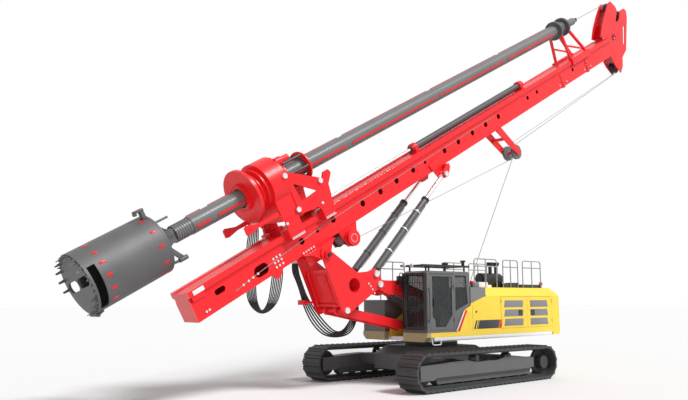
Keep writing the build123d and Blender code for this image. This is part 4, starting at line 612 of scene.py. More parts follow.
def collar(radius, width, wall):
    """A band round the z axis: a tube without ends that is given its thickness."""
    bpy.ops.object.select_all(action="DESELECT")
    bpy.ops.mesh.primitive_cylinder_add(
        vertices=48, radius=radius, depth=width, end_fill_type="NOTHING")
    piece = bpy.context.object
    solid = piece.modifiers.new("wall", "SOLIDIFY")
    solid.thickness = wall
    solid.offset = 1
    bpy.ops.object.modifier_apply(modifier=solid.name)
    return rounded(piece, wall * 0.25)


def facing(place, direction):
    """The frame at a place whose z axis points in a direction."""
    turn = Vector(direction).to_track_quat("Z", "Y").to_matrix().to_4x4()
    return Matrix.Translation(place) @ turn


def spread(model, frames):
    """Copies a model into many frames, each copy with its own mesh, and joins them."""
    copies = []
    for frame_of_copy in frames:
        twin = model.copy()
        twin.data = model.data.copy()
        scene.collection.objects.link(twin)
        twin.matrix_world = frame_of_copy
        copies.append(settle(twin))
    bpy.data.objects.remove(model)
    return join(copies)


def both_sides(places):
    """Places and their mirror images across the machine."""
    return [Vector((x, hand * y, z)) for x, y, z in places for hand in (1, -1)]


def route(name, points, radius, straight=False):
    """A round line on one smooth curve through its control points."""
    curve = bpy.data.curves.new(name, "CURVE")
    curve.dimensions = "3D"
    curve.bevel_depth = radius
    curve.bevel_resolution = 3
    curve.use_fill_caps = True
    spline = curve.splines.new("NURBS")
    spline.points.add(len(points) - 1)
    for control, point in zip(spline.points, points):
        control.co = (*point, 1.0)
    spline.order_u = 2 if straight else 3
    spline.use_endpoint_u = True
    spline.resolution_u = 8
    line = bpy.data.objects.new(name, curve)
    scene.collection.objects.link(line)
    return line


def meshed(line):
    """A line's curve made into a mesh."""
    alone(line)
    bpy.ops.object.convert(target="MESH")
    return bpy.context.object


print("helpers for slabs, bosses, collars and lines are ready")

# %% [markdown]
# Bolts come first, because they give the eye the scale of everything else. One head is
# modelled at the origin, then copied to a table of places: a row along the sled's wear
# strips, rings round the drive, patches beside the mast's openings and rows at its flanges.

# %% Bolts and caps on the mast and the sled
MAST_SIDE = 0.353
SLED_SIDE = 0.5825
DRIVE_SIDE = 0.69
WINCH_SIDE = 0.45
WINCH_S = 4.17
WINCH_H = -2.48
WINCH_BOLTS = 16
WINCH_BOLT_RING = 0.115


def bolts_at(name, places, directions, radius, body, slot_name="chrome_rod", material=None, sides=6):
    """Bolt heads at places, each facing its own direction."""
    frames = [facing(place, direction) for place, direction in zip(places, directions)]
    heads = spread(boss(radius, radius * 0.75, sides), frames)
    hand_over(heads, name, body, material or zinc)
    print(name, len(frames), "heads")


def side_bolts(name, spots, y, radius, body, **finish):
    """Bolt heads on both side faces of the mast, from their s and h."""
    places = both_sides([on_mast(s, h, y) for s, h in spots])
    bolts_at(name, places, [(0, place.y, 0) for place in places], radius, body, **finish)


mast_studs = [(0.28, -1.92), (0.46, -1.905), (0.62, -1.89), (0.80, -1.875)]
mast_studs += [(s, h) for s in (1.40, 1.52, 1.64) for h in (-1.76, -1.88, -2.0)]
mast_studs += [(2.38 + 0.1 * k, -2.08) for k in range(5)]
mast_studs += [(s, -1.99) for s in (-0.95, -0.86, 17.2, 17.78, 19.4, 19.96)]
side_bolts("mast_studs", mast_studs, MAST_SIDE, 0.034, "mast")
side_bolts("sled_caps", [(2.61, -0.90), (3.68, -0.50)], SLED_SIDE, 0.075, "sled", sides=24)
side_bolts("drive_caps", [(2.53, 0.10)], DRIVE_SIDE, 0.075, "sled", sides=24)
side_bolts("sled_small_caps", [(2.10, -1.08), (3.47, -1.08)], SLED_SIDE, 0.04, "sled", sides=24)
strip_spots = [(2.10 + 0.06 * k, -1.50) for k in range(8)]
strip_spots += [(3.43 + 0.06 * k, -1.50) for k in range(6)]
side_bolts("wear_strip_bolts", strip_spots, SLED_SIDE, 0.022, "sled")

flange_spots = []
for s in (17.445, 19.635):
    for k in range(6):
        flange_spots.append(on_mast(s, -2.07 + 0.08 * k, 0.371))
flange_places = both_sides(flange_spots)
bolts_at("flange_bolts", flange_places, [-ALONG] * len(flange_places), 0.016, "mast")


def ring(s, radius, count, direction):
    """Places and directions of a ring of bolts round the kelly."""
    turns = [2 * math.pi * k / count for k in range(count)]
    places = [on_mast(s, radius * math.cos(turn), radius * math.sin(turn)) for turn in turns]
    return places, [direction] * count


winch_face = facing(on_mast(WINCH_S, WINCH_H, WINCH_SIDE), LEFT)
winch_cover = spread(boss(0.232, 0.03, 40, 0.3), [winch_face])
hand_over(winch_cover, "winch_cover", "mast", red_paint)
winch_spots = []
for k in range(WINCH_BOLTS):
    turn = 2 * math.pi * k / WINCH_BOLTS
    s = WINCH_S + WINCH_BOLT_RING * math.cos(turn)
    h = WINCH_H + WINCH_BOLT_RING * math.sin(turn)
    winch_spots.append(on_mast(s, h, WINCH_SIDE + 0.018))
bolts_at("winch_bolts", winch_spots, [LEFT] * WINCH_BOLTS, 0.014, "mast")
bolts_at("cage_low_bolts", *ring(2.855, 0.395, 20, -ALONG), 0.024, "sleeve")
bolts_at("cage_high_bolts", *ring(3.79, 0.335, 16, ALONG), 0.022, "sleeve")
bolts_at("disc_bolts", *ring(1.4225, 0.345, 18, -ALONG), 0.02, "sleeve", "red_paint", red_paint)
bolts_at("collar_bolts", *ring(2.69, 0.47, 24, ALONG), 0.022, "sled")
low_ring = ring(18.6003, 0.33, 16, -ALONG)
bolts_at("guide_low_bolts", *low_ring, 0.02, "kelly_guide", "barrel_grey", barrel_paint)
bolts_at("guide_high_bolts", *ring(19.34, 0.33, 16, ALONG), 0.02, "kelly_guide")

# %% [markdown]
# White strips lie along the sled's lower edge on both sides, and a white marker stands near
# the mast's foot. They are thin, so they are slabs laid on the faces in the mast's frame.

# %% Wear strips and the marker at the mast's foot
STRIP_THICKNESS = 0.012
for name, low_s, high_s in (("wear_strip_low", 2.07, 2.54), ("wear_strip_high", 3.41, 3.80)):
    strips = []
    for hand in (1, -1):
        low_y, high_y = sorted((hand * SLED_SIDE, hand * (SLED_SIDE + STRIP_THICKNESS)))
        strips.append(mast_slab((low_s, low_y, -1.545), (high_s, high_y, -1.528), 0.003))
    hand_over(join(strips), name, "sled", white_paint)
marker = mast_slab((-1.11, 0.412, -1.475), (-0.78, 0.424, -1.36), 0.004)
hand_over(marker, "foot_marker", "mast", white_paint)
marker_lug = mast_slab((-1.18, 0.353, -1.62), (-0.80, 0.40, -1.49), 0.012)
hand_over(marker_lug, "foot_lug", "mast", red_paint)
print("wear strips and the foot's marker are on")

# %% [markdown]
# The pins of the linkage end in round caps. They sit on the outer faces of the tilt frame and
# of the pin towers on the deck, one to each end of a pin. Each pair could be placed by hand.
# A helper mirrors one x and z across the machine, so that both sides stay alike.

# %% Pin caps on the linkage
FRAME_SIDE = 0.595
TOWER_SIDE = 0.34
MAST_PIVOT = (4.80, 3.74)


def pin_caps(name, places, y, radius, body, material=red_paint, slot_name="red_paint"):
    """Round caps on both ends of pins across the machine, from their x and z."""
    ends = both_sides([(x, y, z) for x, z in places])
    bolts_at(name, ends, [(0, end.y, 0) for end in ends], radius, body, slot_name, material, 28)


bright = (zinc, "chrome_rod")
pin_caps("frame_pin_caps", [(2.83, 2.96), (2.98, 3.26)], FRAME_SIDE, 0.095, "tilt_frame", *bright)
pin_caps("pivot_caps", [MAST_PIVOT], FRAME_SIDE, 0.12, "tilt_frame")
# The black discs on the pivot caps are painted shade, standing in for the dark inside the pins' bores.
pivot_hole_y = FRAME_SIDE + 0.085
pin_caps("pivot_bore_shade", [MAST_PIVOT], pivot_hole_y, 0.055, "tilt_frame", plate_black, "black_paint")
pin_caps("link_tip_caps", [(4.11, 2.22)], FRAME_SIDE, 0.085, "tilt_frame", *bright)
flange_bolt_spots = [(3.27 - 0.075 * k, 2.97 - 0.06 * k - 0.01 * k * k) for k in range(4)]
flange_bolt_places = both_sides([(x, FRAME_SIDE, z) for x, z in flange_bolt_spots])
flange_bolt_faces = [(0, place.y, 0) for place in flange_bolt_places]
bolts_at("frame_flange_bolts", flange_bolt_places, flange_bolt_faces, 0.03, "tilt_frame")
pin_caps("tower_caps", [(0.05, 2.44), (1.33, 1.70)], TOWER_SIDE, 0.09, "upper", *bright)

# %% [markdown]
# The front of the tilt frame is a shallow box: a web with raised edges at its sides and its
# foot, and a raised panel inside. It could be inset into the frame's own face, but that mesh
# is left as it came, so slabs are modelled upright and laid along the web.

# %% The tilt frame's front
web_top = Vector((4.60, 0.0, 3.32))
web_foot = Vector((4.20, 0.0, 2.37))
web_run = (web_top - web_foot).normalized()
web_out = Vector((web_run.z, 0.0, -web_run.x))
web_turn = Matrix((web_out, LEFT, web_out.cross(LEFT))).transposed().to_4x4()
WEB = Matrix.Translation(web_foot) @ web_turn
web_parts = [
    slab((0.0, -0.50, -0.02), (0.10, -0.43, 1.02), 0.01),
    slab((0.0, 0.43, -0.02), (0.10, 0.50, 1.02), 0.01),
    slab((0.0, -0.43, -0.02), (0.08, 0.43, 0.05), 0.01),
    slab((0.018, -0.24, 0.16), (0.045, 0.24, 0.92), 0.012),
]
for part in web_parts:
    part.matrix_world = WEB
    settle(part)
hand_over(join(web_parts), "frame_web_ribs", "tilt_frame", red_paint)
print("the tilt frame's web is", round((web_top - web_foot).length, 2), "m long")

# %% [markdown]
# Each raising cylinder carries two pipes beside its barrel, held by three clamps, and a black
# gland where the rod comes out. Clamps and glands are bands round the barrel, so both come
# from the collar. The pipes are curves, which bend in towards the barrel at their ends.

# %% Clamps, glands and pipes on the raising cylinders
CYLINDER_FOOT = Vector((2.98, 0.0, 3.26))
CYLINDER_TIP = Vector((-0.22431, 0.0, 6.555572))
CYLINDER_SIDE = 0.47
GLAND_RUN = 3.30
BARREL_RADIUS = 0.112
BRACKET_SIDE = 0.5655
cylinder_run = (CYLINDER_TIP - CYLINDER_FOOT).normalized()
cylinder_back = Vector((-cylinder_run.z, 0.0, cylinder_run.x))


def on_cylinder(run, y, off=0.0):
    """A place beside a raising cylinder, by its distance from the foot."""
    return CYLINDER_FOOT + cylinder_run * run + cylinder_back * off + LEFT * y


tip_place = (CYLINDER_TIP.x, CYLINDER_TIP.z)
pin_caps("bracket_caps", [tip_place], BRACKET_SIDE, 0.085, "mast", *bright)
# The far cylinder's clamps take the dark barrel paint instead of zinc: painted shade for the side that
# faces away from the key light.
for name, y, finish in (("near", CYLINDER_SIDE, zinc), ("far", -CYLINDER_SIDE, barrel_paint)):
    clamp_frames = [facing(on_cylinder(run, y), cylinder_run) for run in (0.95, 1.9, 2.7)]
    clamps = spread(collar(BARREL_RADIUS, 0.04, 0.016), clamp_frames)
    hand_over(clamps, name + "_barrel_clamps", "mast_barrel_pair", finish)
gland_frames = [facing(on_cylinder(GLAND_RUN, y), cylinder_run) for y in (CYLINDER_SIDE, -CYLINDER_SIDE)]
glands = spread(collar(BARREL_RADIUS, 0.09, 0.016), gland_frames)
hand_over(glands, "barrel_glands", "mast_barrel_pair", black_paint)
pipes = []
for y in (CYLINDER_SIDE, -CYLINDER_SIDE):
    for off in (0.140, 0.172):
        line = route("pipe", [on_cylinder(0.45, y, off - 0.03), on_cylinder(0.55, y, off),
                              on_cylinder(3.05, y, off), on_cylinder(3.2, y, off - 0.04)], 0.011)
        pipes.append(meshed(line))
hand_over(join(pipes), "barrel_pipes", "mast_barrel_pair", rail_grey)
crowd_bands = [facing(on_mast(s, -1.205), ALONG) for s in (8.19, 15.13)]
hand_over(spread(collar(0.118, 0.07, 0.02), crowd_bands), "crowd_bands", "mast", red_paint)
print("a raising cylinder is", round((CYLINDER_TIP - CYLINDER_FOOT).length, 2), "m from pin to pin")

# %% [markdown]
# The thin grey line on the mast's side is taken to be a grease pipe. It starts by the foot,
# passes the ovals and the round openings, and ends about half way up the mast. A painted
# line would look flat from the side, so it is a curve that stands off the face.

# %% The pipe on the mast's side
pipe_points = (
    # s, h
    (0.0, -1.95),
    (0.45, -1.90),
    (0.85, -1.87),
    (1.6, -1.81),
    (3.5, -1.69),
    (6.0, -1.66),
    (12.5, -1.63),
)
grease = meshed(route("grease", [on_mast(s, h, 0.366) for s, h in pipe_points], 0.008))
hand_over(grease, "grease_pipe", "mast", rail_grey)
small_plate = mast_slab((2.40, 0.353, -2.50), (2.80, 0.40, -2.13), 0.01)
hand_over(small_plate, "pivot_keeper", "mast", red_paint)
print("the pipe runs along", pipe_points[-1][0], "m of the mast")

# %% [markdown]
# The bucket is grey steel. Short red marks lie round it in two rings, and a thin band goes
# round it near its top. One mark is modelled flat and copied round the shell, because a mask
# for twenty marks would be harder to read than a table of turns.

# %% Marks on the bucket
BUCKET_RADIUS = 0.75
marks = []
for s, turns in ((-1.49, (28, 59, 89, 121, 155, 190, 225, 260, 295, 330)),
                 (-2.87, (13, 43, 65, 89, 113, 137, 225, 250, 275))):
    for turn in turns:
        angle = math.radians(turn)
        out = OUTWARD * math.cos(angle) + LEFT * math.sin(angle)
        place = KELLY_FOOT + ALONG * s + out * (BUCKET_RADIUS - 0.004)
        turned = Matrix((ALONG, out.cross(ALONG), out)).transposed().to_4x4()
        marks.append(Matrix.Translation(place) @ turned)
mark = slab((-0.075, -0.03, 0.0), (0.075, 0.03, 0.012), 0.004)
hand_over(spread(mark, marks), "bucket_marks", "core_kelly", mark_red)
band = spread(collar(0.748, 0.05, 0.006), [facing(on_mast(-1.30, 0), ALONG)])
hand_over(band, "bucket_band", "core_kelly", bucket_steel)
print(len(marks), "marks on the bucket")

# %% [markdown]
# The engine bay's louvres are filled with a light grey mesh, slanted at some of their ends.
# Each row is a thin panel with slats in front of it, and each door has a sunk black handle.
# Real slats catch the light on their edges, which a striped material can't do.

# %% Louvre grilles and handles
SIDE = 1.366
ROWS = (1.655, 1.955, 2.25)
ROW_HEIGHT = 0.225
SLATS = 7


def grille(front_x, rear_x, hand, front_lean, rear_lean):
    """Three leaning mesh panels with slats, on the outside of a service door."""
    made = []
    for low_z in ROWS:
        y = sorted((hand * SIDE, hand * (SIDE + 0.003)))
        panel = slab((rear_x, y[0], low_z), (front_x, y[1], low_z + ROW_HEIGHT), 0.001)
        for corner in panel.data.vertices:
            if corner.co.z > low_z + ROW_HEIGHT / 2:
                corner.co.x += front_lean if corner.co.x > (front_x + rear_x) / 2 else rear_lean
        made.append(panel)
        for k in range(SLATS):
            z = low_z + 0.012 + k * (ROW_HEIGHT - 0.03) / (SLATS - 1)
            share = (z - low_z) / ROW_HEIGHT
            y = sorted((hand * (SIDE + 0.002), hand * (SIDE + 0.012)))
            made.append(slab((rear_x + rear_lean * share + 0.01, y[0], z),
                             (front_x + front_lean * share - 0.01, y[1], z + 0.008), 0.002))
    return join(made)


DOORS = (
    # body, front x, rear x, hand, front lean, rear lean, handle x
    ("front_service_door", -2.02, -3.06, 1, -0.06, 0.0, -2.91),
    ("rear_service_door", -3.48, -4.53, 1, 0.0, 0.06, -3.61),
    ("right_service_door", -2.02, -3.06, -1, -0.06, 0.0, -2.91),
)
for body, front_x, rear_x, hand, front_lean, rear_lean, handle_x in DOORS:
    louvres = grille(front_x, rear_x, hand, front_lean, rear_lean)
    hand_over(louvres, body + "_grille", body, mesh_grey)
    low_y, high_y = sorted((hand * (SIDE + 0.010), hand * (SIDE + 0.030)))
    low = (handle_x - 0.09, low_y, 1.985)
    high = (handle_x + 0.09, high_y, 2.165)
    handle = slab(low, high, 0.006, inset=0.03, sunk=0.008)
    hand_over(handle, body + "_handle", body, plate_black)
print("louvres and handles on", len(DOORS), "service doors")

# %% [markdown]
# The side carries a slanted stripe of red and white behind the cab's door and a plain black
# plate with a red end. Paint on one face could be a mask in the hood's material. Thin slabs
# keep a crisp edge at any distance, and their tops are pushed back to slant them.

# %% Stripe, plate and small marks on the side
def side_panel(name, low_x, high_x, low_z, high_z, lean, material, proud=0.004):
    """A thin leaning panel on the cab's side of the body."""
    panel = slab((low_x, SIDE, low_z), (high_x, SIDE + proud, high_z), 0.0015, lean=lean)
    hand_over(panel, name, "upper", material)


STRIPE_LEAN = -0.385
side_panel("stripe_white", 0.315, 0.375, 1.556, 2.165, STRIPE_LEAN, white_paint)
side_panel("stripe_red", 0.205, 0.315, 1.556, 2.185, STRIPE_LEAN, mark_red)
side_panel("side_plate", -1.70, -0.66, 1.60, 1.865, -0.10, plate_black)
side_panel("side_plate_end", -1.86, -1.715, 1.60, 1.865, -0.10, mark_red)
side_panel("plate_slash_front", -0.555, -0.48, 1.60, 1.865, -0.10, plate_black)
side_panel("plate_slash_rear", -0.64, -0.60, 1.60, 1.865, -0.10, plate_black)
vents = []
for k in range(9):
    low_z = 1.76 + 0.045 * k
    vents.append(slab((-0.34, SIDE, low_z), (-0.16, SIDE + 0.006, low_z + 0.025), 0.002))
hand_over(join(vents), "cheek_vents", "upper", yellow_paint)
keyhole = [facing(Vector((-0.60, SIDE, 2.13)), (0, 1, 0))]
hand_over(spread(boss(0.035, 0.012), keyhole), "keyhole", "upper", plate_black)
seams = [slab((x - 0.004, SIDE - 0.001, 1.56), (x + 0.004, SIDE + 0.0015, high_z), 0.0007)
         for x, high_z in ((-0.43, 2.32), (-1.865, 2.61))]
hand_over(join(seams), "side_seams", "upper", plate_black)

toe_rail = slab((-4.72, 1.350, 1.300), (1.36, 1.372, 1.395), 0.006)
hand_over(toe_rail, "toe_rail", "upper", white_paint)
print("the toe rail is", round(toe_rail.dimensions.x, 2), "m long")

# %% [markdown]
# On the house's roof stand two red lamps, two black boxes and a white one, and a barred
# walkway at the back. A walkway could be a plate with an image of bars. Real bars, made by a
# loop, cast real shadows.

# %% Lamps, boxes and walkway on the roof
TOP = 2.889
for name, x in (("lamp_front", -0.72), ("lamp_rear", -4.52)):
    stem = spread(boss(0.03, 0.10), [facing(Vector((x, 1.12, TOP)), (0, 0, 1))])
    hand_over(stem, name + "_stem", "upper", black_paint)
    lens = spread(boss(0.062, 0.09, 24, -0.2), [facing(Vector((x, 1.12, TOP + 0.098)), (0, 0, 1))])
    hand_over(lens, name, "upper", red_lamp)
boxes = [slab((x, 0.88, TOP), (far_x, 1.14, TOP + high), 0.012)
         for x, far_x, high in ((-2.72, -2.36, 0.15), (-3.22, -2.80, 0.17))]
hand_over(join(boxes), "roof_boxes", "upper", plate_black)
white_box = slab((-1.50, 0.60, TOP), (-1.04, 1.16, TOP + 0.17), 0.015)
hand_over(white_box, "roof_white_box", "upper", white_paint)
walk = []
for k in range(26):
    x = -4.50 + k * 0.048
    walk.append(slab((x, 0.72, TOP + 0.06), (x + 0.012, 1.14, TOP + 0.11), 0.002))
for y in (0.72, 0.86, 1.0, 1.13):
    walk.append(slab((-4.50, y, TOP), (-3.29, y + 0.012, TOP + 0.115), 0.002))
hand_over(join(walk), "roof_walkway", "upper", plate_black)
print("lamps, boxes and walkway are on the roof")

# %% [markdown]
# Round the cab are a mirror on a bent arm, a beacon and a round lamp on the roof guard, two
# work lamps in front, a step loop under the door and a grab rail beside it. The bent bars
# could be joined from straight ones. One curve each gives their bends for nothing.

# %% Cab fittings
def bent_bar(name, points, radius, body, material):
    """A bent round bar."""
    bar = meshed(route(name, [Vector(point) for point in points], radius))
    hand_over(bar, name, body, material)


bent_bar("mirror_arm", [(1.60, 0.43, 3.26), (1.74, 0.40, 3.33), (1.80, 0.39, 3.28), (1.80, 0.39, 2.92),
                        (1.72, 0.41, 2.84), (1.62, 0.43, 2.84)], 0.014, "upper", black_paint)
mirror = slab((1.785, 0.28, 2.96), (1.825, 0.50, 3.22), 0.015)
hand_over(mirror, "mirror", "upper", black_paint)
bent_bar("step_loop", [(1.45, 1.35, 1.36), (1.45, 1.37, 1.27), (1.45, 1.38, 1.20), (1.38, 1.38, 1.19),
                       (1.15, 1.38, 1.19), (1.08, 1.38, 1.20), (1.08, 1.37, 1.27), (1.08, 1.35, 1.36)],
         0.016, "upper", white_paint)
guard_top = 3.55
UP = Vector((0.0, 0.0, 1.0))
for name, radius, height, sides, dish, place in (
    ("beacon", 0.05, 0.14, 24, -0.1, (-0.33, 1.10, guard_top)),
    ("beacon_cap", 0.085, 0.05, 24, -0.1, (-0.33, 1.10, guard_top + 0.12)),
    ("round_lamp", 0.10, 0.07, 28, -0.25, (0.55, 1.12, guard_top)),
):
    fitting = spread(boss(radius, height, sides, dish), [facing(Vector(place), UP)])
    hand_over(fitting, name, "upper", black_paint)
work_lamps = [facing(Vector((1.795, y, 3.52)), (1, 0, -0.25)) for y in (0.60, 0.92)]
hand_over(spread(boss(0.06, 0.05, 24), work_lamps), "work_lamps", "upper", clear_lamp)
gasket = slab((0.445, SIDE - 0.031, 3.255), (1.485, SIDE - 0.028, 3.262), 0.001)
hand_over(gasket, "door_gasket", "door", black_paint)
door_handle = slab((1.30, 1.336, 2.30), (1.36, 1.375, 2.55), 0.012)
hand_over(door_handle, "cab_door_handle", "door", black_paint)
bent_bar("grab_rail", [(1.57, 1.33, 1.85), (1.57, 1.40, 1.87), (1.57, 1.40, 2.35), (1.57, 1.40, 2.82),
                       (1.57, 1.33, 2.85)], 0.013, "upper", black_paint)
print("the cab is fitted")

# %% [markdown]
# Rope lies on both winch drums in close turns. A torus is one turn, and copies side by side
# fill the drum. The ropes themselves are straight runs between the sheaves: they are tight
# rigging, so they are plain thin rods with a steel finish.

# %% Rope on the drums and between the sheaves
def wound(name, centre, radius, half, rope, body):
    """Turns of rope side by side on a drum that lies across the machine."""
    count = int(half / rope)
    bpy.ops.object.select_all(action="DESELECT")
    bpy.ops.mesh.primitive_torus_add(major_segments=40, minor_segments=6, major_radius=radius + rope,
                                     minor_radius=rope)
    turn = settle(bpy.context.object)
    bpy.ops.object.shade_smooth()
    frames = [facing(centre + LEFT * (-half + rope * (2 * k + 1)), LEFT) for k in range(count)]
    hand_over(spread(turn, frames), name, body, steel_rope)
    print(name, count, "turns")


wound("main_rope_turns", Vector((-1.43, 0.0, 2.45)), 0.215, 0.218, 0.013, "main_drum")
wound("aux_rope_turns", on_mast(WINCH_S, WINCH_H), 0.155, 0.228, 0.010, "aux_drum")


def taut(name, points, radius, body):
    """A tight rope along straight runs."""
    rope = meshed(route(name, points, radius, straight=True))
    hand_over(rope, name, body, steel_rope)


taut("hoist_rope_back", [on_mast(22.60, -3.03), on_mast(13.30, -3.035, 0.19)], 0.012, "mast")
down_points = [on_mast(12.98, -3.37, 0.19), Vector((-2.05, 0.10, 3.37)), Vector((-1.69, 0.06, 2.60))]
taut("hoist_rope_down", down_points, 0.012, "upper")
taut("aux_rope", [on_mast(13.10, -3.55, -0.19), on_mast(4.25, -2.66, -0.05)], 0.009, "mast")
taut("aux_rope_back", [on_mast(22.45, -3.02, -0.05), on_mast(13.40, -3.04, -0.19)], 0.009, "mast")
swivel_points = [on_mast(20.58 + 2.92 * k / 24, 0.0) for k in range(25)]
taut("swivel_rope", swivel_points, 0.014, "mast")


# %% [markdown]
# Two bundles of hydraulic hoses hang in loops: one from under the drive's arm to the sled,
# one from the tilt frame's pivot down and back to its rear. A hose is one soft curve
# through control points. The points are listed for the first hose, and each next
# hose lies a step further out, with steps that fan the bundle where it hangs free.

# %% Hoses
SLED_HOSE_DIAMETER = 0.034
SLED_HOSE_LENGTH = 4.73
SLED_HOSE_GROWTH = 0.12
SLED_HOSE_ROUTE = (
    # x, z, step in x and step in z for each next hose
    (6.366, 4.642, 0.010, -0.005),
    (6.330, 4.32, 0.030, 0.0),
    (6.346, 3.90, 0.036, 0.0),
    (6.386, 3.30, 0.032, 0.0),
    (6.390, 2.85, 0.027, 0.0),
    (6.330, 2.44, 0.019, -0.010),
    (6.150, 2.16, -0.027, -0.013),
    (5.930, 2.46, -0.075, -0.010),
    (5.838, 2.95, -0.085, 0.0),
    (5.785, 3.35, -0.082, 0.0),
    (5.770, 3.80, -0.070, 0.0),
    (5.810, 4.14, -0.045, 0.0),
    (5.950, 4.335, -0.020, 0.0),
)
FRAME_HOSE_DIAMETER = 0.046
FRAME_HOSE_LENGTH = 4.47
FRAME_HOSE_GROWTH = 0.20
FRAME_HOSE_ROUTE = (
    (4.915, 3.66, 0.0, 0.0),
    (4.900, 3.35, 0.015, 0.0),
    (4.760, 3.02, 0.0, 0.0),
    (4.600, 2.66, 0.003, 0.0),
    (4.380, 2.36, 0.030, -0.015),
    (4.100, 2.06, 0.045, -0.030),
    (3.800, 1.78, 0.055, -0.030),
    (3.480, 1.56, 0.055, -0.025),
    (3.200, 1.58, 0.0, -0.045),
    (2.970, 1.80, -0.067, -0.075),
    (2.760, 2.10, -0.080, -0.050),
    (2.620, 2.42, -0.065, -0.015),
    (2.680, 2.72, -0.030, 0.010),
    (2.860, 2.90, 0.0, 0.0),
)


def hose_points(path, k, first_y, last_y, step):
    """The control points of one hose of a bundle."""
    last = len(path) - 1
    return [
        Vector((x + step_x * k, first_y + (last_y - first_y) * n / last - step * k, z + step_z * k))
        for n, (x, z, step_x, step_z) in enumerate(path)
    ]


def hose_bundle(name, path, diameter, count, first_y, last_y, step, length, growth, body):
    """Hoses side by side, each one a curve through its points, with steel ends."""
    ends = []
    for k in range(count):
        points = hose_points(path, k, first_y, last_y, step)
        hose = route(f"{name}_{k + 1}", points, diameter / 2)
        hose.data.materials.append(hose_rubber)
        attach(hose, body)
        ends += [facing(points[0], points[1] - points[0]), facing(points[-1], points[-2] - points[-1])]
    sleeve = boss(diameter * 0.58, diameter * 2.4, 18, 0.02)
    hand_over(spread(sleeve, ends), name + "_ends", body, zinc)
    print(name, count, "hoses from", length, "to", length + growth * (count - 1), "m")


hose_bundle("sled_hose", SLED_HOSE_ROUTE, SLED_HOSE_DIAMETER, 7, -0.515, -0.61, 0.035,
            SLED_HOSE_LENGTH, SLED_HOSE_GROWTH, "sled")
hose_bundle("frame_hose", FRAME_HOSE_ROUTE, FRAME_HOSE_DIAMETER, 5, -0.622, -0.622, 0.05,
            FRAME_HOSE_LENGTH, FRAME_HOSE_GROWTH, "tilt_frame")

# %% [markdown]
# The hoses' ends sit in red blocks on the sled and on the tilt frame, and a clamp holds the
# lower bundle in front of the frame. They are plain welded blocks, so rounded slabs do.

# %% Blocks that hold the hoses
saddle = mast_slab((1.92, -0.80, -0.885), (2.04, -0.47, -0.845), 0.012)
saddle_lip = mast_slab((1.86, -0.82, -0.96), (2.0, -0.78, -0.80), 0.012)
hand_over(join([saddle, saddle_lip]), "hose_saddle", "sled", red_paint)
block = mast_slab((2.13, -0.86, -1.44), (2.33, -0.5825, -1.35), 0.02)
hand_over(block, "hose_block", "sled", red_paint)
clamp_arm = slab((4.20, -0.615, 2.41), (4.60, -0.59, 2.47), 0.006)
clamp_block = slab((4.54, -0.92, 2.37), (4.66, -0.60, 2.51), 0.012)
hand_over(join([clamp_arm, clamp_block]), "hose_clamp", "tilt_frame", red_paint)
upper_block = slab((4.85, -0.86, 3.67), (4.98, -0.595, 3.76), 0.012)
lower_block = slab((2.85, -0.86, 2.88), (2.98, -0.595, 2.99), 0.012)
hand_over(join([upper_block, lower_block]), "hose_blocks", "tilt_frame", red_paint)
print("the hoses' blocks are on")

# %% [markdown]
# A hook-shaped plate stands on the bucket's top, and an arm with a tube at its end, taken for
# the latch arm, lies under the kelly box. A row of small chisels stands between the long
# teeth. The hook could be one bent outline, but three slabs give its shape at this size.

# %% Hook, latch arm and chisels of the bucket
hook_parts = [
    mast_slab((-1.43, 0.20, 0.68), (-1.33, 0.34, 0.93), 0.012),
    mast_slab((-1.56, 0.18, 0.885), (-1.33, 0.36, 0.945), 0.014),
    mast_slab((-1.58, 0.20, 0.83), (-1.52, 0.34, 0.91), 0.012),
]
hand_over(join(hook_parts), "bucket_hook", "core_kelly", bucket_steel)


def strut(s, h, far_s, far_h, width, thickness):
    """A flat bar in the bucket's middle plane, from one place on the mast to another."""
    start, end = on_mast(s, h), on_mast(far_s, far_h)
    bar = slab((0, -thickness / 2, -width / 2), ((end - start).length, thickness / 2, width / 2), 0.006)
    run = (end - start).normalized()
    turned = Matrix((run, LEFT, run.cross(LEFT))).transposed().to_4x4()
    bar.matrix_world = Matrix.Translation(start) @ turned
    return settle(bar)


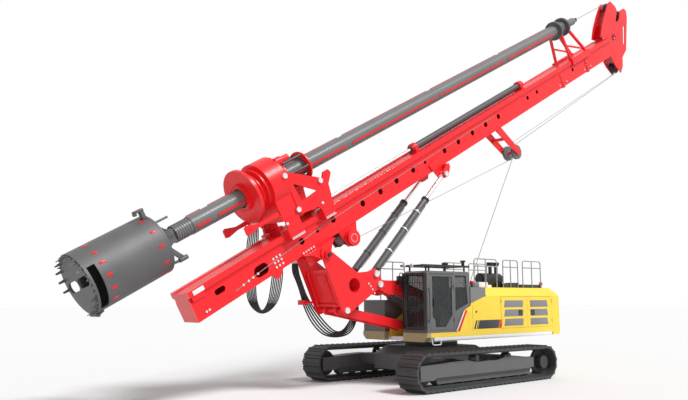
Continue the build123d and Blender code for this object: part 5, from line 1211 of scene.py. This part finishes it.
latch_tube = spread(collar(0.045, 0.24, 0.014), [facing(on_mast(-0.74, -0.64), ALONG)])
latch_parts = [
    strut(-1.02, -0.22, -0.74, -0.64, 0.13, 0.04),
    strut(-1.27, -0.60, -0.72, -0.66, 0.07, 0.04),
    latch_tube,
]
hand_over(join(latch_parts), "bucket_latch_arm", "core_kelly", bucket_steel)


def chisel(length, base, tip):
    """A small tooth that tapers from its base to its edge."""
    bpy.ops.object.select_all(action="DESELECT")
    bpy.ops.mesh.primitive_cone_add(
        vertices=4, radius1=base, radius2=tip, depth=length, location=(0, 0, length / 2))
    tooth = bpy.context.object
    tooth.scale = (0.55, 1.0, 1.0)
    return rounded(settle(tooth), 0.002, 1)


CHISELS = 22
CHISEL_FIRST = -62
CHISEL_STEP = 11
CHISEL_S = -3.295
CHISEL_RING = 0.70
edge_frames = []
for k in range(CHISELS):
    turn = math.radians(CHISEL_FIRST + CHISEL_STEP * k)
    out = OUTWARD * math.cos(turn) + LEFT * math.sin(turn)
    place = on_mast(CHISEL_S, 0.0) + out * CHISEL_RING
    lean = (-ALONG + out * 0.25).normalized()
    edge_frames.append(facing(place, lean))
chisels = spread(chisel(0.085, 0.036, 0.008), edge_frames)
hand_over(chisels, "bucket_chisels", "bucket_gate", bucket_steel)
print(CHISELS, "chisels on the bucket's edge")

# %% [markdown]
# The world is white where the camera, a mirror or a pane looks at it, and dimmer where it
# lights the machine. More light could whiten the background too, but it would bleach the
# paint. The floor is a plain pale sheet that takes the machine's shadow.

# %% World and floor
world = bpy.data.worlds.new("studio")
scene.world = world
world.use_nodes = True
paths = world.node_tree.nodes.new("ShaderNodeLightPath").outputs
seen = Shade(world.node_tree, paths["Is Camera Ray"])
for ray in ("Is Glossy Ray", "Is Transmission Ray"):
    seen = seen + Shade(world.node_tree, paths[ray])
strength = seen.clamp() * (1.0 - SKY_STRENGTH) + SKY_STRENGTH
background = world.node_tree.nodes["Background"]
background.inputs["Color"].default_value = (1, 1, 1, 1)
connect(world.node_tree, background.inputs["Strength"], strength)

bpy.ops.mesh.primitive_plane_add(size=400, location=(0, 0, 0))
floor = bpy.context.object
floor.name = "studio_floor"
floor_finish = Finish("floor_white", (0.80, 0.80, 0.80), roughness=0.9)
floor.data.materials.append(floor_finish.material)
print("world and floor are ready")
